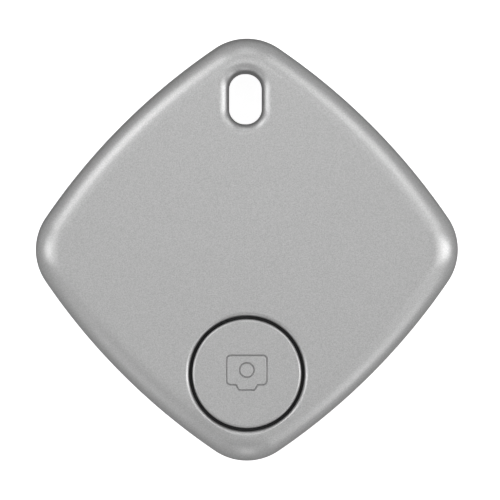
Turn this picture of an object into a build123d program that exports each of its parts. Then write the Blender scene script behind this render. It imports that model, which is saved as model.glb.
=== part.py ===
from build123d import *

import os
from math import atan2, degrees, sqrt

# Bluetooth tracker tag: a flat rounded-diamond case of two snapped shells, with a key-ring slot at
# the top, a round push button at the bottom and a coin cell behind a turning door in the rear.
# Millimetres. The origin is on the rear face, under the middle of the outline. +Z comes out of the
# front face, and +Y points from the button to the key-ring slot.

# ---------------------------------------------------------------- body outline
width = 44.0                # across opposite points
thickness = 8.0             # rear face to front face
corner_radius = 5.89        # at each of the four points
side_radius = 66.6          # of each bowed side
front_edge_radius = 2.6     # rounding all round the front face
rear_edge_radius = 2.2      # rounding all round the rear face

# ---------------------------------------------------------------- case walls and the joint between them
wall = 1.2                  # every outer wall of both shells
parting_height = 3.8        # top of the rear shell's outer skin
seam_gap = 0.15             # visible groove between the two skins
lap_height = 1.0            # how far the rear shell's tongue reaches up inside the front shell
lap_skin = 0.60             # front shell's skin beside the tongue
lap_gap = 0.05
least_fillet = 0.05         # inner roundings are never smaller
root_overlap = 0.3          # how far bosses and ribs run into the wall that they stand on
bead_length = 5.0           # snap bead at the middle of each side
bead_height = 0.4
bead_reach = 0.15           # how far a bead stands out of the tongue
bead_clearance = 0.1

# ---------------------------------------------------------------- key-ring slot
slot_width = 3.40
slot_length = 5.34
slot_corner = 1.62
slot_to_tip = 6.29          # slot's middle to the top point
slot_offset = -0.15         # slot's middle, sideways from the outline's
slot_wall = 1.15            # tube that lines the slot through the case
front_slot_lip = 1.1        # rounding of the slot's mouth
rear_slot_lip = 0.8

# ---------------------------------------------------------------- push button
button_diameter = 11.35
button_gap = 0.33           # open ring round the button
button_to_tip = 9.11        # button's middle to the bottom point
button_recess = 0.05        # button's face below the front face
button_plate = 1.0          # thickness of the button's face
button_rim_radius = 0.28
hole_lip = 0.42             # rounding of the hole's rim
hole_land = 0.9             # front wall left round the hole, above the flange
flange_width = 1.03         # flange beyond the button's side
flange_thickness = 0.50
button_seal_thickness = 0.12 # soft ring on the flange, seen through the open ring
flange_gap = 0.03           # soft ring to the wall that it stops against
flange_side_gap = 0.2
button_hollow_radius = 4.9
nub_radius = 1.0
nub_gap = 0.02              # nub to the switch's plunger
guide_wall = 0.6            # ring inside the front shell that guides the flange
guide_depth = 0.6           # how far the ring hangs below the roof
key_width = 1.4             # tabs that stop the button turning
key_reach = 0.5
key_clearance = 0.1

# ---------------------------------------------------------------- camera pictogram in the button
icon_lift = 0.37            # pictogram's middle above the button's middle
icon_width = 4.19
icon_height = 3.05
icon_corner = 0.42
hump_height = 0.55
hump_base = 2.25
hump_top = 1.66
lens_radius = 0.75
groove_width = 0.22
groove_depth = 0.14

# ---------------------------------------------------------------- coin cell
cell_diameter = 20.0
cell_height = 3.2
cell_y = -2.0
cell_side_gap = 0.25
can_wall = 0.25
crimp_width = 0.8
cap_inset = 1.2             # can's side to the cap's side
cap_step = 0.2              # cap's face above the crimp
cap_sheet = 0.25
cell_inner_gap = 0.05

# ---------------------------------------------------------------- battery door
door_recess = 0.12          # door's face below the rear face
door_flange_thickness = 0.63
door_plate = 1.0            # whole plate, flange included
collar_gap = 0.5            # cell to the collar round it
door_flange_width = 1.2
door_side_gap = 0.1
door_to_cell = 0.08
collar_wall = 0.9
ledge_gap = 0.05            # flange to the ledge that it seats on
ledge_thickness = 0.8
ledge_border = 0.6          # thick ring of the rear shell outside the recess
lug_reach = 0.55
lug_gap = 0.08
lug_thickness = 0.62
lug_angle = 16.0
lug_count = 3
notch_margin = 4.0          # degrees that a notch is wider than a lug
door_turn = 40.0            # closed to open
seal_section = 0.38
seal_depth = 0.22
coin_slot_length = 11.0
coin_slot_width = 1.7
coin_slot_depth = 0.5
mark_diameter = 0.8
mark_depth = 0.2

# ---------------------------------------------------------------- battery bay
bay_clearance = 0.3         # door lug's tip to the bay wall
bay_wall = 0.8
bay_arc = 110.0             # each of the two curved walls, in degrees
rib_thickness = 0.8
rib_angles = (50, 90, 130, 230, 270, 310)
rib_gap = 0.15              # ribs above the door's lugs
bay_to_cell_top = 0.2       # bay walls end below the cell's face

# ---------------------------------------------------------------- circuit board and screws
contact_space = 0.6         # cell's face to the board
board_thickness = 0.8
board_edge_gap = 0.35
board_slot_gap = 0.4
screw_diameter = 1.4
screw_fit = 0.02
screw_board_gap = 0.1
screw_head_diameter = 2.4
screw_head_height = 0.55
screw_grip = 1.5            # thread inside the boss
screw_to_cell = 0.6         # screws' middles beyond the cell's side, left and right
screw_spacing_y = 16.8
cross_length = 1.3
cross_width = 0.35
cross_depth = 0.3
boss_wall = 0.7
boss_end_gap = 0.2

# ---------------------------------------------------------------- tactile switch under the button
switch_size = 4.4
switch_height = 0.5
switch_corner = 0.15
switch_well_diameter = 3.4
switch_well_depth = 0.35
dome_diameter = 3.1
dome_height = 0.25
dome_sheet = 0.05
cover_size = 4.2
cover_sheet = 0.08
plunger_diameter = 1.8
plunger_rise = 0.24         # plunger above the cover
plunger_flange_diameter = 2.6
plunger_flange = 0.08
plunger_gap = 0.01
cover_hole_gap = 0.1
terminal_length = 0.8
terminal_width = 0.6
terminal_sheet = 0.15
terminal_pitch = 3.0

# ---------------------------------------------------------------- buzzer
buzzer_diameter = 8.6
buzzer_height = 2.5
buzzer_to_tip = 6.1         # buzzer's middle to the right-hand point
buzzer_wall = 0.3
buzzer_face = 0.4
buzzer_port_diameter = 2.4
diaphragm_ledge = 0.3
diaphragm_ledge_height = 0.25
diaphragm_sheet = 0.1
buzzer_play = 0.05
magnet_width = 0.9
magnet_gap = 0.02
yoke_plate = 0.4
pole_radius = 0.9
pole_gap = 0.15
coil_inner_gap = 0.1
coil_outer_radius = 2.8
coil_end_gap = 0.25
gasket_wall = 0.7
gasket_radius = 2.3
mesh_thickness = 0.15
sound_hole_diameter = 0.7
sound_ring_radius = 1.15
sound_ring_count = 6

# ---------------------------------------------------------------- spring contacts
leaf_sheet = 0.15
leaf_gap = 0.02
star_radius = 3.0
star_angles = (30, 150, 270)
leaf_width = 1.6
leaf_reach = 6.0            # star's middle to a leaf's lowest point
leaf_tip = 0.9              # turned-up end beyond it
side_leaf_width = 3.0
side_leaf_foot = 3.4        # can's side to the far end of the foot on the board
side_leaf_bend = 1.2        # can's side to the bend under the board
side_leaf_touch = 0.6       # of the cell's height, where the leaf touches the can
side_leaf_end = 0.5         # of the cell's height, where the leaf ends
side_leaf_flare = 0.6       # how far the end stands away from the can

# ---------------------------------------------------------------- small parts on the board
chip_size = 5.0
chip_height = 0.85
chip_y = 3.2
part_fillet = 0.1
relief_gap = 0.08           # round and above each tall part, where the front wall has to give way to it
pin_marked = ("bluetooth_chip",)
pin_mark_diameter = 0.6
pin_mark_depth = 0.05
pin_mark_place = 0.35       # of the chip's side, from its middle
# Parts on the board's front face: middle along X and Y, size along X and Y, height.
board_parts = {
    "bluetooth_chip": (0.0, chip_y, chip_size, chip_size, chip_height),
    "main_crystal": (5.6, chip_y + 0.9, 2.5, 2.0, 0.6),
    "watch_crystal": (-5.8, chip_y + 0.9, 3.2, 1.5, 0.8),
    "chip_antenna": (4.6 - width / 2, 0.0, 2.0, 5.2, 0.8),
    "power_inductor": (-8.4, -2.4, 2.5, 2.0, 0.9),
    "buzzer_transistor": (11.6, -0.6, 1.3, 2.9, 0.9),
    "chip_capacitors": (0.0, chip_y + 5.0, 1.0, 0.5, 0.5),
    "chip_resistors": (6.6, -1.4, 1.0, 0.5, 0.35),
}
# Columns and rows of the parts that come in a grid, and the grid's steps.
part_grids = {"chip_capacitors": (5, 2), "chip_resistors": (2, 3)}
grid_step_x = 2.0
grid_step_y = 1.4

# ---------------------------------------------------------------- places worked out from the sizes
corner_center = width / 2 - corner_radius
# A side's arc is centred on a diagonal, this far out along X and along Y, so that it runs on
# smoothly from the two corner arcs.
side_center = (sqrt(2 * (side_radius - corner_radius) ** 2 - corner_center ** 2) - corner_center) / 2
corner_half_angle = degrees(atan2(side_center, side_center + corner_center))
half_flats = side_radius - sqrt(2) * side_center

slot_y = width / 2 - slot_to_tip
button_y = button_to_tip - width / 2
buzzer_x = width / 2 - buzzer_to_tip

front_bottom = parting_height + seam_gap
tongue_top = parting_height + lap_height
tongue_inset = lap_skin + lap_gap
bead_middle = parting_height + lap_height / 2

cell_radius = cell_diameter / 2
door_diameter = cell_diameter + 2 * (collar_gap + collar_wall)
door_radius = door_diameter / 2
door_flange_radius = door_radius + door_flange_width
door_inside = door_recess + door_plate
recess_radius = door_flange_radius + door_side_gap
opening_radius = door_radius + door_side_gap
ledge_bottom = door_recess + door_flange_thickness + ledge_gap
ledge_top = ledge_bottom + ledge_thickness
lug_radius = door_radius + lug_reach
lug_bottom = ledge_top + lug_gap
lug_top = lug_bottom + lug_thickness
bay_inner_radius = lug_radius + bay_clearance
mark_radius = recess_radius + mark_diameter
seal_mean_radius = (lug_radius + door_side_gap + door_flange_radius) / 2

cap_diameter = cell_diameter - 2 * cap_inset
cap_radius = cap_diameter / 2
cell_bottom = door_inside + door_to_cell
cell_top = cell_bottom + cell_height
crimp_top = cell_top - cap_step
bay_top = cell_top - bay_to_cell_top

board_bottom = cell_top + contact_space
board_top = board_bottom + board_thickness
roof = thickness - wall
board_inset = wall + board_edge_gap
screw_spacing_x = 2 * (cell_radius + screw_to_cell)
board_end_y = slot_y - slot_length / 2 - slot_wall - board_slot_gap
boss_radius = screw_diameter / 2 + screw_fit + boss_wall

button_radius = button_diameter / 2
hole_radius = button_radius + button_gap
button_top = thickness - button_recess
button_inside = button_top - button_plate
flange_radius = button_radius + flange_width
flange_pocket_radius = flange_radius + flange_side_gap
land_bottom = thickness - hole_land
button_seal_top = land_bottom - flange_gap
flange_top = button_seal_top - button_seal_thickness
flange_bottom = flange_top - flange_thickness

switch_top = board_top + switch_height
well_bottom = switch_top - switch_well_depth
cover_top = switch_top + cover_sheet
plunger_bottom = well_bottom + dome_height + plunger_gap
plunger_top = cover_top + plunger_rise

buzzer_radius = buzzer_diameter / 2
buzzer_bottom = board_bottom - buzzer_height
buzzer_inner_radius = buzzer_radius - buzzer_wall
diaphragm_bottom = buzzer_bottom + buzzer_face + diaphragm_ledge_height
magnet_bottom = diaphragm_bottom + diaphragm_sheet + magnet_gap
yoke_bottom = board_bottom - yoke_plate


# ---------------------------------------------------------------- outlines used by several pieces
def level(z, x=0.0, y=0.0):
    """Horizontal plane at a height, centred over a point."""
    return Plane(origin=(x, y, z))


def tag_face(inset=0.0):
    """Case outline, set in by a distance: four corner arcs and the four bowed sides between them."""
    with BuildSketch() as face:
        with BuildLine():
            for turn in (0, 90, 180, 270):
                corner = Vector(corner_center, 0).rotate(Axis.Z, turn)
                side = Vector(-side_center, -side_center).rotate(Axis.Z, turn)
                CenterArc(corner, corner_radius - inset, turn - corner_half_angle, 2 * corner_half_angle)
                CenterArc(side, side_radius - inset, turn + corner_half_angle, 90 - 2 * corner_half_angle)
        make_face()
    return face.sketch


def slot_face(grow=0.0):
    """Key-ring slot, grown by a distance."""
    with BuildSketch() as face:
        with Locations((slot_offset, slot_y)):
            RectangleRounded(slot_width + 2 * grow, slot_length + 2 * grow, slot_corner + grow)
    return face.sketch


def case_face(inset=0.0):
    """Case outline with the slot left out, both set in from the surfaces by the same distance."""
    with BuildSketch() as face:
        add(tag_face(inset))
        add(slot_face(inset), mode=Mode.SUBTRACT)
    return face.sketch


def sector_face(inner_radius, outer_radius, angle):
    """Piece of a flat ring, centred on +X."""
    with BuildSketch() as face:
        with BuildLine():
            inner = CenterArc((0, 0), inner_radius, -angle / 2, angle)
            outer = CenterArc((0, 0), outer_radius, -angle / 2, angle)
            Line(inner @ 0, outer @ 0)
            Line(inner @ 1, outer @ 1)
        make_face()
    return face.sketch


def ring_face(inner_radius, outer_radius):
    """Flat ring."""
    with BuildSketch() as face:
        Circle(outer_radius)
        Circle(inner_radius, mode=Mode.SUBTRACT)
    return face.sketch


def camera_face():
    """Generic camera outline with its viewfinder hump towards -Y."""
    with BuildSketch() as face:
        RectangleRounded(icon_width, icon_height, icon_corner)
        with BuildLine():
            Polyline(
                (-hump_base / 2, 0),
                (-hump_base / 2, -icon_height / 2),
                (-hump_top / 2, -icon_height / 2 - hump_height),
                (hump_top / 2, -icon_height / 2 - hump_height),
                (hump_base / 2, -icon_height / 2),
                (hump_base / 2, 0),
                close=True,
            )
        make_face()
    return face.sketch


# ---------------------------------------------------------------- front shell
with BuildPart() as front_hollow:
    with BuildSketch(level(tongue_top)):
        add(tag_face(wall))
    extrude(amount=roof - tongue_top)
    fillet(front_hollow.edges().group_by(Axis.Z)[-1], max(front_edge_radius - wall, least_fillet))
    with BuildSketch(level(tongue_top)):
        add(slot_face(slot_wall))
    extrude(amount=roof - tongue_top, mode=Mode.SUBTRACT)

with BuildPart() as front_shell:
    with BuildSketch(level(front_bottom)):
        add(tag_face())
    extrude(amount=thickness - front_bottom)
    fillet(front_shell.edges().group_by(Axis.Z)[-1], front_edge_radius)
    with BuildSketch(level(front_bottom)):
        add(slot_face())
    extrude(amount=thickness - front_bottom, mode=Mode.SUBTRACT)
    fillet(front_shell.faces().sort_by(Axis.Z)[-1].inner_wires()[0].edges(), front_slot_lip)
    # Room for the rear shell's tongue, then the hollow above it.
    with BuildSketch(level(front_bottom)):
        add(case_face(lap_skin))
    extrude(amount=tongue_top - front_bottom, mode=Mode.SUBTRACT)
    add(front_hollow.part, mode=Mode.SUBTRACT)
    # Grooves for the snap beads.
    with BuildSketch(level(bead_middle - bead_height / 2 - bead_clearance)):
        with PolarLocations(half_flats - tongue_inset, 4, start_angle=45):
            Rectangle(2 * (bead_reach + bead_clearance), bead_length + 2 * bead_clearance)
    extrude(amount=bead_height + 2 * bead_clearance, mode=Mode.SUBTRACT)
    # Bosses that the circuit board is screwed to.
    with BuildSketch(level(board_top)):
        with GridLocations(screw_spacing_x, screw_spacing_y, 2, 2):
            Circle(boss_radius)
    extrude(amount=roof - board_top + root_overlap)
    with BuildSketch(level(board_top)):
        with GridLocations(screw_spacing_x, screw_spacing_y, 2, 2):
            Circle(screw_diameter / 2 + screw_fit)
    extrude(amount=screw_grip + boss_end_gap, mode=Mode.SUBTRACT)
    # Relief over each single part on the board. At these sizes every part clears the wall, and it cuts nothing.
    for x, y, size_x, size_y, height in (size for name, size in board_parts.items() if name not in part_grids):
        with BuildSketch(level(board_top, x=x, y=y)):
            Rectangle(size_x + 2 * relief_gap, size_y + 2 * relief_gap)
        extrude(amount=height + relief_gap, mode=Mode.SUBTRACT)
    # Guide ring for the button's flange, with a pocket in the roof and two key slots.
    with BuildSketch(level(roof - guide_depth, y=button_y)):
        Circle(flange_pocket_radius + guide_wall)
    extrude(amount=guide_depth + root_overlap)
    with BuildSketch(level(roof - guide_depth, y=button_y)):
        Circle(flange_pocket_radius)
        Rectangle(
            2 * (flange_radius + key_reach + key_clearance) + 2 * guide_wall,
            key_width + 2 * key_clearance,
        )
    extrude(amount=land_bottom - roof + guide_depth, mode=Mode.SUBTRACT)
    # Button hole, its rim rounded over on to the front face.
    with BuildSketch(Plane.XZ.offset(-button_y)):
        with BuildLine():
            rim = CenterArc((hole_radius + hole_lip, thickness - hole_lip), hole_lip, 90, 90)
            Polyline(
                rim @ 1,
                (hole_radius, button_seal_top),
                (0, button_seal_top),
                (0, thickness + hole_lip),
                (hole_radius + hole_lip, thickness + hole_lip),
                rim @ 0,
            )
        make_face()
    revolve(axis=Axis((0, button_y, 0), (0, 0, 1)), mode=Mode.SUBTRACT)

# ---------------------------------------------------------------- rear shell
with BuildPart() as rear_hollow:
    with BuildSketch(level(wall)):
        add(tag_face(wall))
    extrude(amount=tongue_top - wall)
    fillet(rear_hollow.edges().group_by(Axis.Z)[0], max(rear_edge_radius - wall, least_fillet))
    with BuildSketch(level(wall)):
        add(slot_face(slot_wall))
    extrude(amount=tongue_top - wall, mode=Mode.SUBTRACT)

with BuildPart() as rear_shell:
    with BuildSketch():
        add(tag_face())
    extrude(amount=parting_height)
    fillet(rear_shell.edges().group_by(Axis.Z)[0], rear_edge_radius)
    with BuildSketch():
        add(slot_face())
    extrude(amount=parting_height, mode=Mode.SUBTRACT)
    fillet(rear_shell.faces().sort_by(Axis.Z)[0].inner_wires()[0].edges(), rear_slot_lip)
    # Tongue that laps inside the front shell, with its snap beads.
    with BuildSketch(level(parting_height)):
        add(case_face(tongue_inset))
    extrude(amount=lap_height)
    with BuildSketch(level(bead_middle - bead_height / 2)):
        with PolarLocations(half_flats - tongue_inset, 4, start_angle=45):
            Rectangle(2 * bead_reach, bead_length)
    extrude(amount=bead_height)
    add(rear_hollow.part, mode=Mode.SUBTRACT)
    # Thick ring round the door, and the two curved walls with ribs that hold the cell.
    with BuildSketch(level(wall, y=cell_y)):
        Circle(recess_radius + ledge_border)
    extrude(amount=ledge_top - wall)
    with BuildSketch(level(wall, y=cell_y)):
        with PolarLocations(0, 2, start_angle=90):
            add(sector_face(bay_inner_radius, bay_inner_radius + bay_wall, bay_arc))
    extrude(amount=bay_top - wall)
    with BuildSketch(level(lug_top + rib_gap, y=cell_y)):
        for angle in rib_angles:
            with PolarLocations(cell_radius + cell_side_gap, 1, start_angle=angle):
                Rectangle(
                    bay_inner_radius + bay_wall / 2 - cell_radius - cell_side_gap,
                    rib_thickness,
                    align=(Align.MIN, Align.CENTER),
                )
    extrude(amount=bay_top - lug_top - rib_gap)
    # Door recess, the opening in its ledge, and the notches that let the lugs through.
    with BuildSketch(level(0, y=cell_y)):
        Circle(recess_radius)
    extrude(amount=ledge_bottom, mode=Mode.SUBTRACT)
    with BuildSketch(level(ledge_bottom, y=cell_y)):
        Circle(opening_radius)
        with PolarLocations(0, lug_count, start_angle=90 - door_turn):
            add(sector_face(door_radius - lug_reach, lug_radius + door_side_gap, lug_angle + notch_margin))
    extrude(amount=ledge_thickness, mode=Mode.SUBTRACT)
    # Marks for the door's closed and open places.
    with BuildSketch(level(0, y=cell_y)):
        with PolarLocations(mark_radius, 2, start_angle=90 - door_turn, angular_range=door_turn, endpoint=True):
            Circle(mark_diameter / 2)
    extrude(amount=mark_depth, mode=Mode.SUBTRACT)
    # Sound holes under the buzzer.
    with BuildSketch(level(0, x=buzzer_x)):
        Circle(sound_hole_diameter / 2)
        with PolarLocations(sound_ring_radius, sound_ring_count):
            Circle(sound_hole_diameter / 2)
    extrude(amount=wall, mode=Mode.SUBTRACT)

# ---------------------------------------------------------------- push button
with BuildPart() as push_button:
    with BuildSketch(level(button_inside, y=button_y)):
        Circle(button_radius)
    extrude(amount=button_plate)
    fillet(push_button.edges().group_by(Axis.Z)[-1], button_rim_radius)
    with BuildSketch(level(flange_bottom, y=button_y)):
        Circle(flange_radius)
        Rectangle(2 * (flange_radius + key_reach), key_width)
        Circle(button_hollow_radius, mode=Mode.SUBTRACT)
    extrude(amount=flange_thickness)
    with BuildSketch(level(plunger_top + nub_gap, y=button_y)):
        Circle(nub_radius)
    extrude(amount=button_inside - plunger_top - nub_gap)
    # Camera pictogram, cut as a groove of even width.
    with BuildSketch(level(button_top, y=button_y + icon_lift)):
        offset(camera_face(), amount=groove_width / 2)
        offset(camera_face(), amount=-groove_width / 2, mode=Mode.SUBTRACT)
        add(ring_face(lens_radius - groove_width / 2, lens_radius + groove_width / 2))
    extrude(amount=-groove_depth, mode=Mode.SUBTRACT)

# Soft ring on the flange, which keeps dust out of the open ring and stops the button rattling.
with BuildPart() as button_seal:
    with BuildSketch(level(flange_top, y=button_y)):
        add(ring_face(button_radius, flange_radius))
    extrude(amount=button_seal_thickness)

# ---------------------------------------------------------------- battery door and its seal
with BuildPart() as battery_door:
    with BuildSketch(level(door_recess, y=cell_y)):
        Circle(door_flange_radius)
    extrude(amount=door_flange_thickness)
    with BuildSketch(level(door_recess, y=cell_y)):
        Circle(door_radius)
    extrude(amount=door_plate)
    with BuildSketch(level(door_inside, y=cell_y)):
        add(ring_face(door_radius - collar_wall, door_radius))
    extrude(amount=lug_top - door_inside)
    with BuildSketch(level(lug_bottom, y=cell_y)):
        with PolarLocations(0, lug_count, start_angle=90):
            add(sector_face(door_radius - collar_wall / 2, lug_radius, lug_angle))
    extrude(amount=lug_thickness)
    # Groove for the seal, coin slot and the mark beside the rim.
    with BuildSketch(level(door_recess + door_flange_thickness - seal_depth, y=cell_y)):
        add(ring_face(seal_mean_radius - seal_section / 2, seal_mean_radius + seal_section / 2))
    extrude(amount=seal_depth, mode=Mode.SUBTRACT)
    with BuildSketch(level(door_recess, y=cell_y)):
        SlotOverall(coin_slot_length, coin_slot_width)
    extrude(amount=coin_slot_depth, mode=Mode.SUBTRACT)
    with BuildSketch(level(door_recess, y=cell_y)):
        with Locations((0, door_radius - mark_diameter)):
            Circle(mark_diameter / 2)
    extrude(amount=mark_depth, mode=Mode.SUBTRACT)

with BuildPart() as door_seal:
    seal_bottom = door_recess + door_flange_thickness - seal_depth
    with BuildSketch(level(seal_bottom, y=cell_y)):
        add(ring_face(seal_mean_radius - seal_section / 2, seal_mean_radius + seal_section / 2))
    extrude(amount=seal_depth + ledge_gap / 2)

# ---------------------------------------------------------------- coin cell
with BuildPart() as coin_cell_can:
    with BuildSketch(level(cell_bottom, y=cell_y)):
        Circle(cell_radius)
    extrude(amount=crimp_top - cell_bottom)
    fillet(coin_cell_can.edges().group_by(Axis.Z)[0], can_wall)
    fillet(coin_cell_can.edges().group_by(Axis.Z)[-1], can_wall)
    with BuildSketch(level(cell_bottom + can_wall, y=cell_y)):
        Circle(cell_radius - can_wall)
    extrude(amount=crimp_top - cell_bottom - 2 * can_wall, mode=Mode.SUBTRACT)
    with BuildSketch(level(crimp_top - can_wall, y=cell_y)):
        Circle(cell_radius - crimp_width)
    extrude(amount=can_wall, mode=Mode.SUBTRACT)

with BuildPart() as coin_cell_cap:
    with BuildSketch(level(cell_bottom + 2 * can_wall, y=cell_y)):
        Circle(cap_radius)
    extrude(amount=cell_height - 2 * can_wall)
    fillet(coin_cell_cap.edges().group_by(Axis.Z)[-1], cap_sheet)
    with BuildSketch(level(cell_bottom + 2 * can_wall, y=cell_y)):
        Circle(cap_radius - cap_sheet)
    extrude(amount=cell_height - 2 * can_wall - cap_sheet, mode=Mode.SUBTRACT)

with BuildPart() as coin_cell_gasket:
    with BuildSketch(level(cell_bottom + can_wall + cell_inner_gap, y=cell_y)):
        add(ring_face(cap_radius, cell_radius - can_wall))
    extrude(amount=crimp_top - cell_bottom - 2 * can_wall - 2 * cell_inner_gap)
    with BuildSketch(level(crimp_top - can_wall - cell_inner_gap, y=cell_y)):
        add(ring_face(cap_radius, cell_radius - crimp_width))
    extrude(amount=can_wall + cell_inner_gap)

with BuildPart() as coin_cell_core:
    with BuildSketch(level(cell_bottom + can_wall, y=cell_y)):
        Circle(cap_radius - cap_sheet - cell_inner_gap)
    extrude(amount=cell_height - can_wall - cap_sheet - cell_inner_gap)

# ---------------------------------------------------------------- circuit board and its screws
with BuildPart() as circuit_board:
    with BuildSketch(level(board_bottom)):
        add(tag_face(board_inset))
        with Locations((0, board_end_y)):
            Rectangle(width, width, align=(Align.CENTER, Align.MIN), mode=Mode.SUBTRACT)
        with GridLocations(screw_spacing_x, screw_spacing_y, 2, 2):
            Circle(screw_diameter / 2 + screw_board_gap, mode=Mode.SUBTRACT)
    extrude(amount=board_thickness)

with BuildPart() as board_screws:
    with BuildSketch(level(board_bottom - screw_head_height)):
        with GridLocations(screw_spacing_x, screw_spacing_y, 2, 2):
            Circle(screw_head_diameter / 2)
    extrude(amount=screw_head_height)
    fillet(board_screws.edges().group_by(Axis.Z)[0], part_fillet)
    with BuildSketch(level(board_bottom)):
        with GridLocations(screw_spacing_x, screw_spacing_y, 2, 2):
            Circle(screw_diameter / 2)
    extrude(amount=board_thickness + screw_grip)
    with BuildSketch(level(board_bottom - screw_head_height)):
        with GridLocations(screw_spacing_x, screw_spacing_y, 2, 2):
            Rectangle(cross_length, cross_width)
            Rectangle(cross_width, cross_length)
    extrude(amount=cross_depth, mode=Mode.SUBTRACT)

# ---------------------------------------------------------------- tactile switch
with BuildPart() as switch_base:
    with BuildSketch(level(board_top, y=button_y)):
        RectangleRounded(switch_size, switch_size, switch_corner)
    extrude(amount=switch_height)
    with BuildSketch(level(well_bottom, y=button_y)):
        Circle(switch_well_diameter / 2)
    extrude(amount=switch_well_depth, mode=Mode.SUBTRACT)

# Snap dome: a shallow spherical cap of thin sheet, standing on its rim in the well.
with BuildPart() as switch_dome:
    with BuildSketch(Plane.XZ.offset(-button_y)):
        with BuildLine():
            rims = []
            for rim_radius, rise in (
                (dome_diameter / 2, dome_height),
                (dome_diameter / 2 - dome_sheet, dome_height - dome_sheet),
            ):
                sphere_radius = (rim_radius ** 2 + rise ** 2) / (2 * rise)
                middle = (0, well_bottom + rise - sphere_radius)
                half_angle = degrees(atan2(rim_radius, sphere_radius - rise))
                rims.append(CenterArc(middle, sphere_radius, 90 - half_angle, half_angle))
            Line(rims[0] @ 0, rims[1] @ 0)
            Line(rims[0] @ 1, rims[1] @ 1)
        make_face()
    revolve(axis=Axis((0, button_y, 0), (0, 0, 1)))

with BuildPart() as switch_plunger:
    with BuildSketch(level(plunger_bottom, y=button_y)):
        Circle(plunger_flange_diameter / 2)
    extrude(amount=plunger_flange)
    with BuildSketch(level(plunger_bottom, y=button_y)):
        Circle(plunger_diameter / 2)
    extrude(amount=plunger_top - plunger_bottom)

with BuildPart() as switch_cover:
    with BuildSketch(level(switch_top, y=button_y)):
        RectangleRounded(cover_size, cover_size, switch_corner)
        Circle(plunger_diameter / 2 + cover_hole_gap, mode=Mode.SUBTRACT)
    extrude(amount=cover_sheet)

with BuildPart() as switch_terminals:
    with BuildSketch(level(board_top, y=button_y)):
        with GridLocations(switch_size + terminal_length, terminal_pitch, 2, 2):
            Rectangle(terminal_length, terminal_width)
    extrude(amount=terminal_sheet)

# ---------------------------------------------------------------- buzzer
with BuildPart() as buzzer_case:
    with BuildSketch(level(buzzer_bottom, x=buzzer_x)):
        Circle(buzzer_radius)
    extrude(amount=buzzer_height)
    with BuildSketch(level(buzzer_bottom, x=buzzer_x)):
        Circle(buzzer_port_diameter / 2)
    extrude(amount=buzzer_face, mode=Mode.SUBTRACT)
    with BuildSketch(level(buzzer_bottom + buzzer_face, x=buzzer_x)):
        Circle(buzzer_inner_radius - diaphragm_ledge)
    extrude(amount=diaphragm_ledge_height, mode=Mode.SUBTRACT)
    with BuildSketch(level(diaphragm_bottom, x=buzzer_x)):
        Circle(buzzer_inner_radius)
    extrude(amount=board_bottom - diaphragm_bottom, mode=Mode.SUBTRACT)

with BuildPart() as buzzer_diaphragm:
    with BuildSketch(level(diaphragm_bottom, x=buzzer_x)):
        Circle(buzzer_inner_radius - buzzer_play)
    extrude(amount=diaphragm_sheet)

magnet_outer_radius = buzzer_inner_radius - buzzer_play
with BuildPart() as buzzer_magnet:
    with BuildSketch(level(magnet_bottom, x=buzzer_x)):
        add(ring_face(magnet_outer_radius - magnet_width, magnet_outer_radius))
    extrude(amount=yoke_bottom - magnet_bottom)

with BuildPart() as buzzer_coil:
    with BuildSketch(level(magnet_bottom + coil_end_gap, x=buzzer_x)):
        add(ring_face(pole_radius + coil_inner_gap, coil_outer_radius))
    extrude(amount=yoke_bottom - magnet_bottom - coil_end_gap)

with BuildPart() as buzzer_yoke:
    with BuildSketch(level(yoke_bottom, x=buzzer_x)):
        Circle(magnet_outer_radius)
    extrude(amount=yoke_plate)
    with BuildSketch(level(magnet_bottom + pole_gap, x=buzzer_x)):
        Circle(pole_radius)
    extrude(amount=yoke_bottom - magnet_bottom - pole_gap)

with BuildPart() as sound_mesh:
    with BuildSketch(level(wall, x=buzzer_x)):
        Circle(gasket_radius)
    extrude(amount=mesh_thickness)

with BuildPart() as buzzer_gasket:
    with BuildSketch(level(wall + mesh_thickness, x=buzzer_x)):
        add(ring_face(gasket_radius - gasket_wall, gasket_radius))
    extrude(amount=buzzer_bottom - wall - mesh_thickness)

# ---------------------------------------------------------------- spring contacts
# Negative contact: a star of three leaves that hang from a plate under the board to the cell's cap.
with BuildPart() as negative_contact:
    with BuildSketch(level(board_bottom - leaf_sheet, y=cell_y)):
        Circle(star_radius)
    extrude(amount=leaf_sheet)
    leaf_high = contact_space - leaf_sheet
    for leaf_angle in star_angles:
        along = Vector(1, 0).rotate(Axis.Z, leaf_angle)
        across = Vector(0, -1).rotate(Axis.Z, leaf_angle)
        with BuildSketch(Plane(origin=(0, cell_y, cell_top), x_dir=along, z_dir=across)):
            with BuildLine():
                Polyline(
                    (star_radius / 2, leaf_high),
                    (star_radius, leaf_high),
                    (leaf_reach, leaf_gap),
                    (leaf_reach + leaf_tip, leaf_gap + leaf_sheet),
                    (leaf_reach + leaf_tip, leaf_gap + 2 * leaf_sheet),
                    (leaf_reach, leaf_gap + leaf_sheet),
                    (star_radius, leaf_high + leaf_sheet),
                    (star_radius / 2, leaf_high + leaf_sheet),
                    close=True,
                )
            make_face()
        extrude(amount=leaf_width / 2, both=True)

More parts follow.
